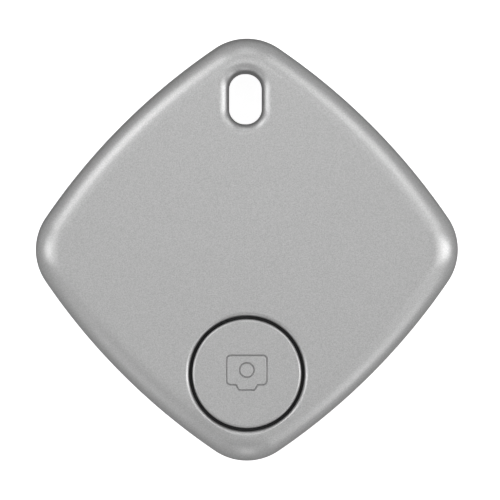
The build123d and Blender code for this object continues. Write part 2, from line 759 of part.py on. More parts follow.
# Positive contact: a bowed leaf that hangs from the board against the side of the can.
contact_x = -cell_radius - leaf_gap
touch_z = cell_bottom + side_leaf_touch * cell_height
end_z = cell_bottom + side_leaf_end * cell_height
with BuildPart() as positive_contact:
    with BuildSketch(Plane.XZ.offset(-cell_y)):
        with BuildLine():
            Polyline(
                (contact_x - side_leaf_foot, board_bottom),
                (contact_x - side_leaf_foot, board_bottom - leaf_sheet),
                (contact_x - side_leaf_bend, board_bottom - leaf_sheet),
                (contact_x - leaf_sheet, touch_z),
                (contact_x - side_leaf_flare, end_z),
                (contact_x - side_leaf_flare + leaf_sheet, end_z),
                (contact_x, touch_z),
                (contact_x - side_leaf_bend + leaf_sheet, board_bottom),
                close=True,
            )
        make_face()
    extrude(amount=side_leaf_width / 2, both=True)

# ---------------------------------------------------------------- small parts on the board
def board_part(name):
    """One part of the table, or a grid of them, with its upper edges rounded and its pin mark."""
    x, y, size_x, size_y, height = board_parts[name]
    columns, rows = part_grids.get(name, (1, 1))
    with BuildPart() as blocks:
        with BuildSketch(level(board_top, x=x, y=y)):
            with GridLocations(grid_step_x, grid_step_y, columns, rows):
                Rectangle(size_x, size_y)
        extrude(amount=height)
        fillet(blocks.edges().group_by(Axis.Z)[-1], part_fillet)
        if name in pin_marked:
            with BuildSketch(level(board_top + height, x - pin_mark_place * size_x, y + pin_mark_place * size_y)):
                Circle(pin_mark_diameter / 2)
            extrude(amount=-pin_mark_depth, mode=Mode.SUBTRACT)
    return blocks


made_parts = {name: board_part(name) for name in board_parts}

# ---------------------------------------------------------------- one STEP file for each piece
pieces = {
    "front_shell": front_shell,
    "rear_shell": rear_shell,
    "push_button": push_button,
    "button_seal": button_seal,
    "battery_door": battery_door,
    "door_seal": door_seal,
    "coin_cell_can": coin_cell_can,
    "coin_cell_cap": coin_cell_cap,
    "coin_cell_gasket": coin_cell_gasket,
    "coin_cell_core": coin_cell_core,
    "circuit_board": circuit_board,
    "board_screws": board_screws,
    "switch_base": switch_base,
    "switch_dome": switch_dome,
    "switch_plunger": switch_plunger,
    "switch_cover": switch_cover,
    "switch_terminals": switch_terminals,
    "buzzer_case": buzzer_case,
    "buzzer_diaphragm": buzzer_diaphragm,
    "buzzer_magnet": buzzer_magnet,
    "buzzer_coil": buzzer_coil,
    "buzzer_yoke": buzzer_yoke,
    "buzzer_gasket": buzzer_gasket,
    "sound_mesh": sound_mesh,
    "negative_contact": negative_contact,
    "positive_contact": positive_contact,
    **made_parts,
}

os.makedirs("parts", exist_ok=True)
for name, piece in pieces.items():
    piece.part.label = name
    export_step(piece.part, f"parts/{name}.step")
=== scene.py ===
"""Looks of a bluetooth tracker tag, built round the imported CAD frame.

The tag lies on its back on a pale table. The two case shells, the push button, the battery door and the
switch's snap dome are made here as smooth closed surfaces of the CAD parts' sizes; everything else keeps
its CAD mesh and gets its finish. Sizes in the classes are millimetres in the CAD frame: the origin is on
the rear face under the outline's middle, +Z comes out of the front face and +Y points to the key-ring slot.
"""

from __future__ import annotations

import logging
import math
from dataclasses import dataclass, field
from enum import Enum
from typing import Any, Callable

import bpy
import numpy as np
from mathutils import Euler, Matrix
from mathutils.geometry import delaunay_2d_cdt

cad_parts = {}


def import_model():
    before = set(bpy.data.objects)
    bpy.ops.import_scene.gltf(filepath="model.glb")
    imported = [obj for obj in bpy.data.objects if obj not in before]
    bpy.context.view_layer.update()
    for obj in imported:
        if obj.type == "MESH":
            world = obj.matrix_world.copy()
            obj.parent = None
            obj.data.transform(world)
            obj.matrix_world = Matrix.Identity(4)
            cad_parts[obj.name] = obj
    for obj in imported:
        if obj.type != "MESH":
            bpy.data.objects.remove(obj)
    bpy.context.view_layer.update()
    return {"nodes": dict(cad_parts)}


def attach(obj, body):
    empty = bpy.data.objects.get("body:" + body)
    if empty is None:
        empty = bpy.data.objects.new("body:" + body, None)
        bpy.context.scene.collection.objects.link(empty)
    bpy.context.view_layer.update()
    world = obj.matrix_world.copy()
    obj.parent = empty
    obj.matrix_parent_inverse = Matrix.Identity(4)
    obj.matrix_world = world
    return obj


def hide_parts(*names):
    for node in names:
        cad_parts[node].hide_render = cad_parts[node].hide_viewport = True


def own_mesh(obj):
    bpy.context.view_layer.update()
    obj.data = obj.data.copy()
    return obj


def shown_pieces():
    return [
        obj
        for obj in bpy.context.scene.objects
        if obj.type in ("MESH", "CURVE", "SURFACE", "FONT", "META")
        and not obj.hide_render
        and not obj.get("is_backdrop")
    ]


log = logging.getLogger("tracker_tag")

MM = 0.001
WELD = 1e-5          # mm, corners closer than this are one
EDGE_BREAK = 0.06    # mm, rounding of the moulded edges along the seam
BREAK_STEPS = 4      # pieces along such a rounding
SHARP_COS = 0.8      # neighbouring wall segments flatter than this shade as one
ROOT = 0.1           # mm, how far a rib or ring is sunk in the wall that it stands on
TINY = 1e-9          # mm, keeps a division from zero
CLEAR = 0.05         # mm, kept between a surface's helping points and the curves that bound it

# Finishes
BRUSH_STRETCH = 14.0        # how much longer brushed streaks are than wide
GRAIN_DETAIL = 2.0
CLOUD_DETAIL = 4.0
CLOUD_GRAINS = 12           # grains across a cloud of roughness
DARK_END, LIGHT_END = 0.3, 0.7

Array = np.ndarray
Height = Callable[[Array], tuple[Array, Array]]


# ------------------------------------------------------------------ curves and surfaces
@dataclass(frozen=True)
class Loop:
    """Closed plan curve, counter-clockwise: points (n, 2) and the unit normals (n, 2) that leave it."""

    points: Array
    normals: Array

    def grown(self, distance: float) -> Array:
        """Points of the parallel curve that far outside this one."""
        return self.points + distance * self.normals


def rays(angle: Array) -> Array:
    """Unit vectors (cos a, sin a) along the last axis, for angles in radians."""
    return np.stack([np.cos(angle), np.sin(angle)], -1)


def unit(vectors: Array) -> Array:
    """The vectors along the last axis, brought to length one."""
    return vectors / np.linalg.norm(vectors, axis=-1, keepdims=True)


def turned_right(vectors: Array) -> Array:
    """Plan vectors (n, 2) turned a quarter to the right."""
    return np.stack([vectors[:, 1], -vectors[:, 0]], 1)


def quarters(vectors: Array) -> Array:
    """Plan vectors (n, 2), and after them the same turned a quarter to the left once, twice and three times."""
    right = turned_right(vectors)
    return np.concatenate([vectors, -right, -vectors, right])


def put(name: str, data: bpy.types.ID) -> bpy.types.Object:
    """Makes an object of a mesh, light or camera and links it to the scene."""
    made = bpy.data.objects.new(name, data)
    bpy.context.scene.collection.objects.link(made)
    return made


def circle(x: float, y: float, radius: float, steps: int = 128) -> Loop:
    """Circle: centre plus radius times (cos a, sin a), for a over one turn.

    Args:
        x: Centre along X.
        y: Centre along Y.
        radius: Radius.
        steps: Points round it.

    Returns:
        The loop.
    """
    normals = rays(np.arange(steps) * 2 * math.pi / steps)
    return Loop(np.array([x, y]) + radius * normals, normals)


def rounded_polygon(corners: Array, radii: Array, steps: int = 12) -> Loop:
    """Polygon with rounded corners, each an arc that touches both of its sides.

    At a corner with unit directions a in and b out and turn t, the arc's middle lies radius away from both
    sides, and its normal swings evenly from the one side's normal to the other's. A corner that turns the
    other way has its middle outside.

    Args:
        corners: Counter-clockwise corners, (n, 2).
        radii: One radius for each corner.
        steps: Points on each arc.

    Returns:
        The loop.
    """
    into = unit(corners - np.roll(corners, 1, 0))
    out = np.roll(into, -1, 0)
    start = np.arctan2(-into[:, 0], into[:, 1])
    turn = np.arctan2(into[:, 0] * out[:, 1] - into[:, 1] * out[:, 0], (into * out).sum(1))
    side = np.sign(turn)
    back = radii * np.tan(np.abs(turn) / 2)
    middle = corners - back[:, None] * into - (side * radii)[:, None] * turned_right(into)
    angle = start[:, None] + turn[:, None] * np.linspace(0, 1, steps)[None, :]
    normals = rays(angle)
    points = middle[:, None] + (side * radii)[:, None, None] * normals
    return Loop(points.reshape(-1, 2), normals.reshape(-1, 2))


def densified(loop: Loop, longest: float) -> Loop:
    """The same loop with its long straight runs cut into pieces no longer than a length.

    Args:
        loop: The loop.
        longest: Longest piece.

    Returns:
        A loop with more points where they were far apart.
    """
    ahead = np.roll(loop.points, -1, 0)
    parts = np.maximum(1, np.ceil(np.linalg.norm(ahead - loop.points, axis=1) / longest)).astype(int)
    which = np.repeat(np.arange(len(parts)), parts)
    share = (np.arange(len(which)) - np.repeat(np.cumsum(parts) - parts, parts)) / parts[which]
    points = loop.points[which] + share[:, None] * (ahead - loop.points)[which]
    normals = loop.normals[which] + share[:, None] * (np.roll(loop.normals, -1, 0) - loop.normals)[which]
    return Loop(points, unit(normals))


@dataclass(frozen=True)
class Run:
    """Smooth piece of a profile: offsets from the loop, heights, and the unit normal at each point."""

    offset: Array
    height: Array
    normal: Array


def straight(*corners: tuple[float, float]) -> list[Run]:
    """Straight pieces from corner to corner of a profile. The solid lies on the left of the way they run.

    Args:
        *corners: (offset, height) pairs.

    Returns:
        One run for each piece, whose normal is the direction turned right.
    """
    points = np.array(corners, float)
    right = turned_right(unit(np.diff(points, axis=0)))
    return [Run(*points[i : i + 2].T, np.repeat(right[i : i + 1], 2, 0)) for i in range(len(right))]


def round_run(middle: tuple[float, float], radius: float, start: float, end: float, steps: int = 16) -> list[Run]:
    """Arc of a profile: middle plus radius times (cos a, sin a), a going evenly from start to end.

    Args:
        middle: (offset, height) of the arc's middle.
        radius: Radius.
        start: First angle in degrees.
        end: Last angle in degrees.
        steps: Pieces along it.

    Returns:
        The run. Going counter-clockwise the solid is inside the arc, and clockwise outside.
    """
    ray = rays(np.radians(np.linspace(start, end, steps + 1)))
    return [Run(middle[0] + radius * ray[:, 0], middle[1] + radius * ray[:, 1], ray * math.copysign(1, end - start))]


def mouth(lip: float, level: float = 0.0, steps: int = BREAK_STEPS) -> list[Run]:
    """Quarter round from a hole's wall out to the face below it.

    Args:
        lip: The rounding.
        level: Height of the face.
        steps: Pieces along it.

    Returns:
        The run.
    """
    return round_run((lip, level + lip), lip, 180, 270, steps)


def inside(points: Array, polygon: Array) -> Array:
    """Whether each point lies in a polygon, by counting the sides that a ray along +X crosses.

    Args:
        points: (n, 2).
        polygon: (m, 2).

    Returns:
        (n,) booleans.
    """
    a, b = polygon, np.roll(polygon, -1, 0)
    x, y = points[:, :1], points[:, 1:]
    spans = (a[:, 1] > y) != (b[:, 1] > y)
    rise = np.where(b[:, 1] == a[:, 1], 1.0, b[:, 1] - a[:, 1])
    return (spans & (x < a[:, 0] + (y - a[:, 1]) * (b[:, 0] - a[:, 0]) / rise)).sum(1) % 2 == 1


def flat_at(height: float) -> Height:
    """Height function of a level face.

    Args:
        height: Its height.

    Returns:
        A function from points (n, 2) to heights (n,) and upward normals (n, 3).
    """

    def level(points: Array) -> tuple[Array, Array]:
        """Even height and straight-up normals."""
        return np.full(len(points), height), np.tile([0.0, 0.0, 1.0], (len(points), 1))

    return level


class Skin:
    """Patches of one piece, each with its own exact normals, welded into one closed mesh."""

    def __init__(self) -> None:
        """Starts with no patch."""
        self.points: list[Array] = []
        self.normals: list[Array] = []
        self.faces: list[Array] = []
        self.count = 0

    def add(self, points: Array, normals: Array, faces: Array) -> None:
        """Adds a patch.

        Args:
            points: (n, 3).
            normals: (n, 3).
            faces: (m, 4) corner numbers, the last -1 for a triangle.
        """
        self.points.append(points)
        self.normals.append(normals)
        self.faces.append(np.where(faces < 0, -1, faces + self.count))
        self.count += len(points)

    def carry(self, loop: Loop, runs: list[Run], lid: Height | None = None) -> None:
        """Carries a profile round a loop: point = loop point + offset x plan normal, at the run's height.

        Where lid is given the surface stays under that height, and takes its normals there.

        Args:
            loop: The plan curve.
            runs: Profile pieces.
            lid: Height function that cuts the surface off from above.
        """
        n = len(loop.points)
        for run in runs:
            m = len(run.offset)
            flat = loop.points[:, None] + run.offset[None, :, None] * loop.normals[:, None]
            points = np.concatenate([flat, np.broadcast_to(run.height[None, :, None], (n, m, 1))], 2).reshape(-1, 3)
            across = run.normal[None, :, :1] * loop.normals[:, None]
            normals = np.concatenate([across, np.broadcast_to(run.normal[None, :, 1:], (n, m, 1))], 2).reshape(-1, 3)
            if lid is not None:
                height, steep = lid(points[:, :2])
                over = points[:, 2] > height - WELD
                points[:, 2] = np.where(over, height, points[:, 2])
                normals = np.where(over[:, None], steep, normals)
            i, j = np.meshgrid(np.arange(n), np.arange(m - 1), indexing="ij")
            k = (i + 1) % n
            quads = np.stack([i * m + j, k * m + j, k * m + j + 1, i * m + j + 1], 2).reshape(-1, 4)
            self.add(points, normals, quads)

    def fill(
        self,
        outer: Array,
        holes: list[Array],
        height: Height,
        upward: bool = True,
        free: Array | None = None,
    ) -> None:
        """Fills the plan area between an outer curve and its holes, lifted to a height function.

        The triangles are Delaunay's, kept where their middles are inside the outer curve and outside each hole.

        Args:
            outer: Outer curve, (n, 2).
            holes: Curves left open.
            height: Height function.
            upward: Faces look up, or down.
            free: Further points inside, that help the surface to follow its height.
        """
        curves = [outer, *holes]
        ends = np.cumsum([len(c) for c in curves])
        rounds = [np.stack([np.arange(len(c)), np.roll(np.arange(len(c)), -1)], 1) for c in curves]
        edges = np.concatenate([r + end - len(r) for r, end in zip(rounds, ends)])
        plan = np.concatenate(curves + ([free] if free is not None else []))
        made = delaunay_2d_cdt(plan.tolist(), edges.tolist(), [], 0, WELD / 10)
        source = np.fromiter((next(iter(ids), -1) for ids in made[3]), int, len(made[3]))
        plan = np.where(source[:, None] < 0, np.array(made[0], float), plan[source])
        faces = np.array(made[2], int)
        middle = plan[faces].mean(1)
        keep = inside(middle, outer)
        for hole in holes:
            keep &= ~inside(middle, hole)
        faces = faces[keep]
        a, b, c = (plan[faces[:, i]] for i in range(3))
        turn = (b[:, 0] - a[:, 0]) * (c[:, 1] - a[:, 1]) - (b[:, 1] - a[:, 1]) * (c[:, 0] - a[:, 0])
        faces = np.where(((turn > 0) == upward)[:, None], faces, faces[:, ::-1])
        z, normals = height(plan)
        faces = np.concatenate([faces, np.full((len(faces), 1), -1)], 1)
        self.add(np.column_stack([plan, z]), normals if upward else -normals, faces)

    def wall(self, curve: Array, bottom: float | Array, top: float | Array, outward: bool) -> None:
        """Upright wall on a closed curve, rounded where the curve is and creased at its corners.

        Args:
            curve: Counter-clockwise plan curve, (n, 2).
            bottom: Height of its lower edge, one or for each point.
            top: Height of its upper edge.
            outward: The wall looks out of the curve, or into it.
        """
        n = len(curve)
        low, high = np.broadcast_to(bottom, n), np.broadcast_to(top, n)
        ahead = np.roll(curve, -1, 0)
        flat = unit(turned_right(ahead - curve))
        before, after = np.roll(flat, 1, 0), np.roll(flat, -1, 0)
        first = np.where(((flat * before).sum(1) > SHARP_COS)[:, None], flat + before, flat)
        last = np.where(((flat * after).sum(1) > SHARP_COS)[:, None], flat + after, flat)
        ends = unit(np.stack([first, last, last, first], 1))
        corners = (curve, low), (ahead, np.roll(low, -1)), (ahead, np.roll(high, -1)), (curve, high)
        points = np.stack([np.column_stack(corner) for corner in corners], 1).reshape(-1, 3)
        normals = np.concatenate([ends, np.zeros((n, 4, 1))], 2).reshape(-1, 3)
        faces = np.arange(4 * n).reshape(n, 4)
        if not outward:
            normals, faces = -normals, faces[:, ::-1]
        self.add(points, normals, faces)

    def block(self, curve: Array, bottom: float, top: float) -> None:
        """Closed upright block on a plan curve.

        Args:
            curve: Counter-clockwise plan curve, (n, 2).
            bottom: Height of its underside.
            top: Height of its top.
        """
        self.wall(curve, bottom, top, True)
        self.fill(curve, [], flat_at(top))
        self.fill(curve, [], flat_at(bottom), upward=False)

    def piece(self, name: str) -> bpy.types.Object:
        """Welds the patches and makes the object, in metres, each face corner keeping its patch's normal.

        Args:
            name: Name of the object and its mesh.

        Returns:
            The object, at the origin.
        """
        points, normals = np.concatenate(self.points), np.concatenate(self.normals)
        faces = np.concatenate(self.faces)
        cells = np.round(points / WELD).astype(np.int64)
        _, first, welded = np.unique(cells, axis=0, return_index=True, return_inverse=True)
        welded = np.append(welded.ravel(), -1)
        ids = welded[faces]
        repeat = (ids == np.roll(ids, 1, 1)) & (faces >= 0)
        corners = (faces >= 0) & ~repeat
        kept = corners.sum(1) > 2
        ids, faces, corners = ids[kept], faces[kept], corners[kept]
        ends = np.cumsum(corners.sum(1))
        used, flat = np.unique(ids[corners], return_inverse=True)
        mesh = bpy.data.meshes.new(name)
        mesh.vertices.add(len(used))
        mesh.vertices.foreach_set("co", (points[first[used]] * MM).astype(np.float32).ravel())
        mesh.loops.add(len(flat))
        mesh.loops.foreach_set("vertex_index", flat.astype(np.int32))
        mesh.polygons.add(len(ends))
        mesh.polygons.foreach_set("loop_start", np.concatenate([[0], ends[:-1]]).astype(np.int32))
        mesh.update(calc_edges=True)
        mesh.validate()
        mesh.polygons.foreach_set("use_smooth", np.ones(len(mesh.polygons), bool))
        if len(mesh.loops) == len(flat):
            mesh.normals_split_custom_set(normals[faces[corners]].tolist())
        else:
            log.warning("%s: mesh was mended, so its own normals are kept", name)
        return put(name, mesh)


# ------------------------------------------------------------------ finishes
class Slot(str, Enum):
    """Material slots of the record."""

    CASE_PAINT = "case_paint"
    # black rubber of the seals; on the button's seal it is also painted shade for the gap round the button
    RUBBER_AND_GAP_SHADE = "black_rubber"
    CELL_STEEL = "cell_steel"
    CELL_SEAL = "cell_seal"
    CELL_FILL = "cell_fill"
    BOARD_LAMINATE = "board_laminate"
    SCREW_STEEL = "screw_steel"
    BLACK_PLASTIC = "black_plastic"
    SPRING_STEEL = "spring_steel"
    MAGNET_IRON = "magnet_iron"
    COPPER = "copper"
    MESH_CLOTH = "mesh_cloth"
    WHITE_CERAMIC = "white_ceramic"
    TAN_CERAMIC = "tan_ceramic"


def wire(node: bpy.types.Node, **inputs: Any) -> bpy.types.Node:
    """Sets a node's inputs to values, or links them from other nodes' outputs.

    Args:
        node: The node.
        **inputs: Socket names, with _ for a space.

    Returns:
        The node.
    """
    for name, value in inputs.items():
        socket = node.inputs[name.replace("_", " ")]
        if isinstance(value, bpy.types.NodeSocket):
            node.id_data.links.new(value, socket)
        else:
            socket.default_value = value
    return node


def add_node(tree: bpy.types.NodeTree, kind: str, **inputs: Any) -> bpy.types.Node:
    """Adds a shader node of a kind and wires its inputs."""
    return wire(tree.nodes.new("ShaderNode" + kind), **inputs)


class Pattern(Enum):
    """How a finish varies over its surface."""

    GRAIN = "grain"
    BRUSHED = "brushed"
    WOVEN = "woven"


@dataclass(frozen=True)
class Finish:
    """Look of one material slot."""

    slot: Slot
    light: tuple[float, float, float]
    dark: tuple[float, float, float]
    metallic: float
    roughness: float
    grain_mm: float
    bump_mm: float
    roughness_swing: float = 0.06
    coat: float = 0.0
    edge_tint: float = 1.0
    pattern: Pattern = Pattern.GRAIN

    def material(self) -> bpy.types.Material:
        """Makes the node material: a fine pattern mixes the two tones, and stirs roughness and bump.

        Returns:
            The material.
        """
        made = bpy.data.materials.new(self.slot.value)
        made.use_nodes = True
        tree = made.node_tree
        place = add_node(tree, "TexCoord").outputs["Object"]
        stretch = (1, BRUSH_STRETCH if self.pattern is Pattern.BRUSHED else 1, 1)
        spot = add_node(tree, "Mapping", Vector=place, Scale=stretch).outputs["Vector"]
        scale = 1 / (self.grain_mm * MM)
        if self.pattern is Pattern.WOVEN:
            tone = add_node(tree, "TexVoronoi", Vector=spot, Scale=scale, Randomness=0.0).outputs["Distance"]
        else:
            tone = add_node(tree, "TexNoise", Vector=spot, Scale=scale, Detail=GRAIN_DETAIL).outputs["Fac"]
        ramp = add_node(tree, "ValToRGB", Fac=tone)
        for stop, end, tint in zip(ramp.color_ramp.elements, (DARK_END, LIGHT_END), (self.dark, self.light)):
            stop.position, stop.color = end, (*tint, 1)
        cloud = add_node(tree, "TexNoise", Vector=place, Scale=scale / CLOUD_GRAINS, Detail=CLOUD_DETAIL)
        low, high = self.roughness - self.roughness_swing, self.roughness + self.roughness_swing
        swing = add_node(tree, "MapRange", Value=cloud.outputs["Fac"], To_Min=low, To_Max=high)
        bump = add_node(tree, "Bump", Strength=1.0, Distance=self.bump_mm * MM, Height=tone)
        wire(
            tree.nodes["Principled BSDF"],
            Base_Color=ramp.outputs["Color"],
            Metallic=self.metallic,
            Roughness=swing.outputs["Result"],
            Normal=bump.outputs["Normal"],
            Coat_Weight=self.coat,
            Specular_Tint=(self.edge_tint,) * 3 + (1,),
        )
        return made


FINISHES = (
    Finish(Slot.CASE_PAINT, (0.485,) * 3, (0.355,) * 3, 0.75, 0.36, 0.11, 0.0025, 0.02, edge_tint=0.25),
    # black rubber of the seals; on the button's seal its very dark tone also stands in for painted shade in the gap
    # round the button
    Finish(Slot.RUBBER_AND_GAP_SHADE, (0.014, 0.014, 0.015), (0.007, 0.007, 0.008), 0.0, 0.70, 0.20, 0.004),
    Finish(Slot.CELL_STEEL, (0.62, 0.61, 0.59), (0.52, 0.51, 0.49), 1.0, 0.28, 0.25, 0.0015, pattern=Pattern.BRUSHED),
    Finish(Slot.CELL_SEAL, (0.30, 0.32, 0.33), (0.22, 0.24, 0.25), 0.0, 0.55, 0.30, 0.002),
    Finish(Slot.CELL_FILL, (0.060, 0.060, 0.062), (0.035, 0.035, 0.037), 0.1, 0.75, 0.15, 0.006),
    Finish(Slot.BOARD_LAMINATE, (0.012, 0.085, 0.040), (0.008, 0.060, 0.028), 0.0, 0.34, 0.35, 0.003, coat=0.4),
    Finish(Slot.SCREW_STEEL, (0.50, 0.50, 0.50), (0.38, 0.38, 0.38), 1.0, 0.35, 0.12, 0.002),
    Finish(Slot.BLACK_PLASTIC, (0.028, 0.028, 0.030), (0.016, 0.016, 0.018), 0.0, 0.48, 0.15, 0.004),
    Finish(Slot.SPRING_STEEL, (0.66, 0.62, 0.54), (0.54, 0.50, 0.43), 1.0, 0.25, 0.20, 0.001, pattern=Pattern.BRUSHED),
    Finish(Slot.MAGNET_IRON, (0.17, 0.17, 0.18), (0.11, 0.11, 0.12), 0.9, 0.50, 0.15, 0.004),
    Finish(Slot.COPPER, (0.78, 0.36, 0.20), (0.62, 0.26, 0.14), 1.0, 0.32, 0.10, 0.006, pattern=Pattern.BRUSHED),
    Finish(Slot.MESH_CLOTH, (0.080, 0.080, 0.082), (0.010, 0.010, 0.011), 0.0, 0.80, 0.14, 0.03, pattern=Pattern.WOVEN),
    Finish(Slot.WHITE_CERAMIC, (0.72, 0.71, 0.67), (0.62, 0.61, 0.57), 0.0, 0.40, 0.20, 0.003),
    Finish(Slot.TAN_CERAMIC, (0.40, 0.29, 0.19), (0.30, 0.21, 0.14), 0.0, 0.45, 0.15, 0.003),
)


class Paints:
    """Materials made once from the finishes, and put on pieces."""

    def __init__(self) -> None:
        """Makes one material for each finish."""
        self.by_slot = {finish.slot: finish.material() for finish in FINISHES}

    def dress(self, piece: bpy.types.Object, slot: Slot) -> None:
        """Gives a piece the one material of a slot.

        Args:
            piece: A new piece or a CAD node.
            slot: The record's slot.
        """
        piece.data.materials.clear()
        piece.data.materials.append(self.by_slot[slot])


# ------------------------------------------------------------------ outlines shared by the shells
@dataclass(frozen=True)
class Outline:
    """Rounded-diamond outline of the case: four corner arcs and four bowed sides that meet smoothly."""

    width: float = 44.0
    corner_radius: float = 5.89
    side_radius: float = 66.6
    corner_steps: int = 44
    side_steps: int = 30

    @property
    def corner_center(self) -> float:
        """Distance of a corner arc's middle from the case's."""
        return self.width / 2 - self.corner_radius

    @property
    def side_center(self) -> float:
        """Distance along X and along Y of a side arc's middle from the case's, past it on the far side."""
        reach, middle = self.side_radius - self.corner_radius, self.corner_center
        return (math.sqrt(2 * reach**2 - middle**2) - middle) / 2

    @property
    def half_angle(self) -> float:
        """Half of a corner arc's angle, in radians."""
        return math.atan2(self.side_center, self.side_center + self.corner_center)

    def loop(self) -> Loop:
        """Outline: arc's middle plus arc's radius times (cos a, sin a), a quarter of it turned three times.

        Returns:
            The loop, closer set on the corners.
        """
        half, c, s = self.half_angle, self.corner_center, self.side_center
        corner = np.linspace(-half, half, self.corner_steps + 1)[:-1]
        side = np.linspace(half, math.pi / 2 - half, self.side_steps + 1)[:-1]
        normals, counts = rays(np.concatenate([corner, side])), [len(corner), len(side)]
        middle = np.repeat([[c, 0.0], [-s, -s]], counts, 0)
        radius = np.repeat([self.corner_radius, self.side_radius], counts)
        return Loop(quarters(middle + radius[:, None] * normals), quarters(normals))

    def inset(self, points: Array) -> tuple[Array, Array]:
        """Distance in from the outline, and the outline's normal there, by folding into one quarter.

        Args:
            points: (n, 2), not far from the outline.

        Returns:
            Distances (n,) and unit normals (n, 2).
        """
        c, s = self.corner_center, self.side_center
        folded = np.abs(points)
        angle = np.arctan2(folded[:, 1] + s, folded[:, 0] + s)
        low, high = angle < self.half_angle, angle > math.pi / 2 - self.half_angle
        middle = np.where(low[:, None], [[c, 0.0]], np.where(high[:, None], [[0.0, c]], [[-s, -s]]))
        radius = np.where(low | high, self.corner_radius, self.side_radius)
        ray = folded - middle
        length = np.linalg.norm(ray, axis=1)
        normal = ray / np.maximum(length, TINY)[:, None] * np.where(points < 0, -1, 1)
        return radius - length, normal

    def rounded_face(self, level: float, radius: float, rim: float = 0.0) -> Height:
        """Height function of a level face whose edge is rounded down on the outline.

        Inside radius + rim of the outline it is level; nearer, it drops on a quarter circle:
        height = level - radius + square root of (radius^2 - (radius + rim - inset)^2).

        Args:
            level: Height of the flat.
            radius: The rounding. A negative one turns the edge up instead.
            rim: How far in from the outline the rounding's foot is.

        Returns:
            The height function.
        """

        def lifted(points: Array) -> tuple[Array, Array]:
            """Height and upward normal of the rounded face."""
            distance, outward = self.inset(points)
            size = abs(radius)
            over = np.clip(size + rim - distance, 0, size)
            rise = np.sqrt(size**2 - over**2)
            sign = math.copysign(1, radius)
            normals = np.column_stack([sign * outward * (over / size)[:, None], rise / size])
            return level - sign * (size - rise), normals

        return lifted


@dataclass(frozen=True)
class KeySlot:
    """Key-ring slot through the case."""

    width: float = 3.40
    length: float = 5.34
    corner: float = 1.62
    to_tip: float = 6.29
    offset: float = -0.15

    def loop(self, outline: Outline) -> Loop:
        """Rounded rectangle: four corner arcs joined by straight sides.

        Args:
            outline: The case outline that the slot is placed by.

        Returns:
            The loop.
        """
        x, y, middle = self.width / 2, self.length / 2, outline.width / 2 - self.to_tip
        corners = np.array([[x, -y], [x, y], [-x, y], [-x, -y]]) + [self.offset, middle]
        return densified(rounded_polygon(corners, np.full(4, self.corner), steps=20), longest=0.25)


def sector(x: float, y: float, inner: float, outer: float, start: float, end: float, steps: int = 24) -> Array:
    """Piece of a flat ring: the outer arc from start to end, and the inner one back.

    Args:
        x: Ring's middle along X.
        y: Ring's middle along Y.
        inner: Inner radius.
        outer: Outer radius.
        start: First angle in degrees.
        end: Last angle in degrees.
        steps: Pieces along each arc.

    Returns:
        Counter-clockwise curve, (n, 2).
    """
    ray = rays(np.radians(np.linspace(start, end, steps + 1)))
    return np.concatenate([outer * ray, inner * ray[::-1]]) + [x, y]


def bar(x: float, y: float, length: float, width: float, angle: float = 0.0) -> Array:
    """Rectangle that starts at a point and runs out along a direction.

    Args:
        x: Middle of its starting edge along X.
        y: Middle of its starting edge along Y.
        length: Along the direction.
        width: Across it.
        angle: The direction, in degrees from +X.

    Returns:
        Counter-clockwise curve, (4, 2).
    """
    local = np.array([[0, -width / 2], [length, -width / 2], [length, width / 2], [0, width / 2]])
    a = math.radians(angle)
    turn = np.array([[math.cos(a), math.sin(a)], [-math.sin(a), math.cos(a)]])
    return local @ turn + [x, y]


